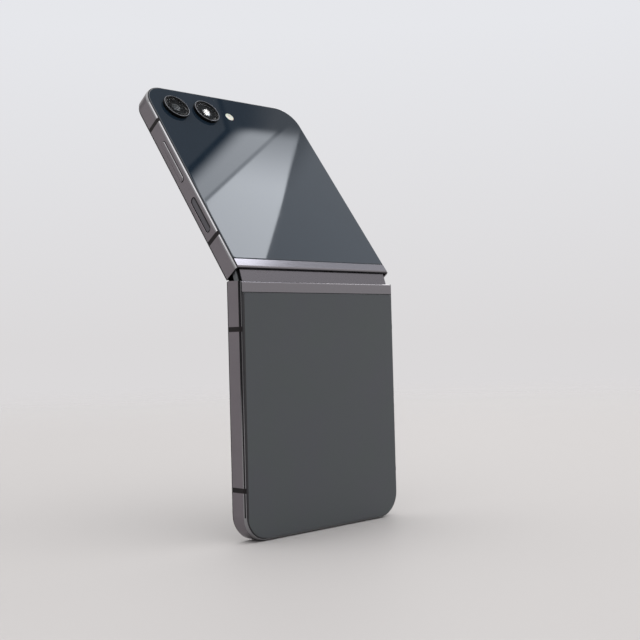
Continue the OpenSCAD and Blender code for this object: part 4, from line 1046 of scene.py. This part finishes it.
for card in cards.values():
    if "pixels" in card:
        faces = card.get("face", [onCover] * len(card["pixels"]))
        corners = [mirrored(px, py, face) for (px, py), face in zip(card["pixels"], faces)]
    else:
        corners = [compass(azimuth, elevation) for azimuth, elevation in card["compass"]]
    middle = sum(corners, Vector())
    inside = None
    for first, second, soft in zip(corners, corners[1:] + corners[:1], card["soft"]):
        across = first.cross(second).normalized()
        if across.dot(middle) < 0:
            across = -across
        reach = add(tree, "VectorMath", {0: outlook, 1: across}, operation="DOT_PRODUCT").outputs["Value"]
        width = math.sin(math.radians(soft))
        step = add(tree, "MapRange", {"Value": reach, "From Min": -width, "From Max": width},
                   interpolation_type="SMOOTHSTEP").outputs["Result"]
        inside = add(tree, "Math", {0: inside, 1: step}, operation="MULTIPLY").outputs[0] if inside else step
    glow = tuple(card["level"] * c for c in card.get("tint", room["tint"])) + (1,)
    level = add(tree, "Mix", {0: inside, 6: level, 7: glow}, data_type="RGBA").outputs[2]
light = add(tree, "Background", {"Color": level})
rise = add(tree, "MapRange", {"Value": height, "From Max": room["seenTop"]}).outputs["Result"]
tones = {0: rise, 6: linear(room["seenLow"]), 7: linear(room["seenHigh"])}
backdrop = add(tree, "Mix", tones, data_type="RGBA").outputs[2]
seen = add(tree, "Background", {"Color": backdrop, "Strength": 1.0})
fromCamera = add(tree, "LightPath").outputs["Is Camera Ray"]
pick = add(tree, "MixShader", {0: fromCamera, 1: light.outputs[0], 2: seen.outputs[0]})
add(tree, "OutputWorld", {"Surface": pick.outputs[0]})

# Floor: a pale disc that fades into the room.
floorSize = {"radius": 1.6, "solid": 0.25, "clear": 1.3, "z": -halfLen / 2 * mm - 0.0002, "tone": "#bcbaba",
             "rough": 0.6, "gleam": 0.2, "sides": 96}
floorMaterial, tree = newMaterial("pale_matt_floor")
place = add(tree, "TexCoord").outputs["Object"]
away = add(tree, "VectorMath", {0: place}, operation="LENGTH").outputs["Value"]
fade = add(tree, "MapRange", {"Value": away, "From Min": floorSize["solid"], "From Max": floorSize["clear"]},
           interpolation_type="SMOOTHSTEP").outputs["Result"]
matt = add(tree, "BsdfPrincipled", {"Base Color": linear(floorSize["tone"]), "Roughness": floorSize["rough"],
                                    "Specular IOR Level": floorSize["gleam"]})
clear = add(tree, "BsdfTransparent")
mixed = add(tree, "MixShader", {0: fade, 1: matt.outputs[0], 2: clear.outputs[0]})
add(tree, "OutputMaterial", {"Surface": mixed.outputs[0]})
disc = bmesh.new()
bmesh.ops.create_circle(disc, cap_ends=True, radius=floorSize["radius"], segments=floorSize["sides"])
floorMesh = bpy.data.meshes.new("floor")
disc.to_mesh(floorMesh)
disc.free()
floorMesh.materials.append(floorMaterial)
floor = bpy.data.objects.new("floor", floorMesh)
floor.location.z = floorSize["z"]
bpy.context.scene.collection.objects.link(floor)
bpy.context.scene.view_settings.view_transform = "Standard"
print("stage: camera, room and floor made")
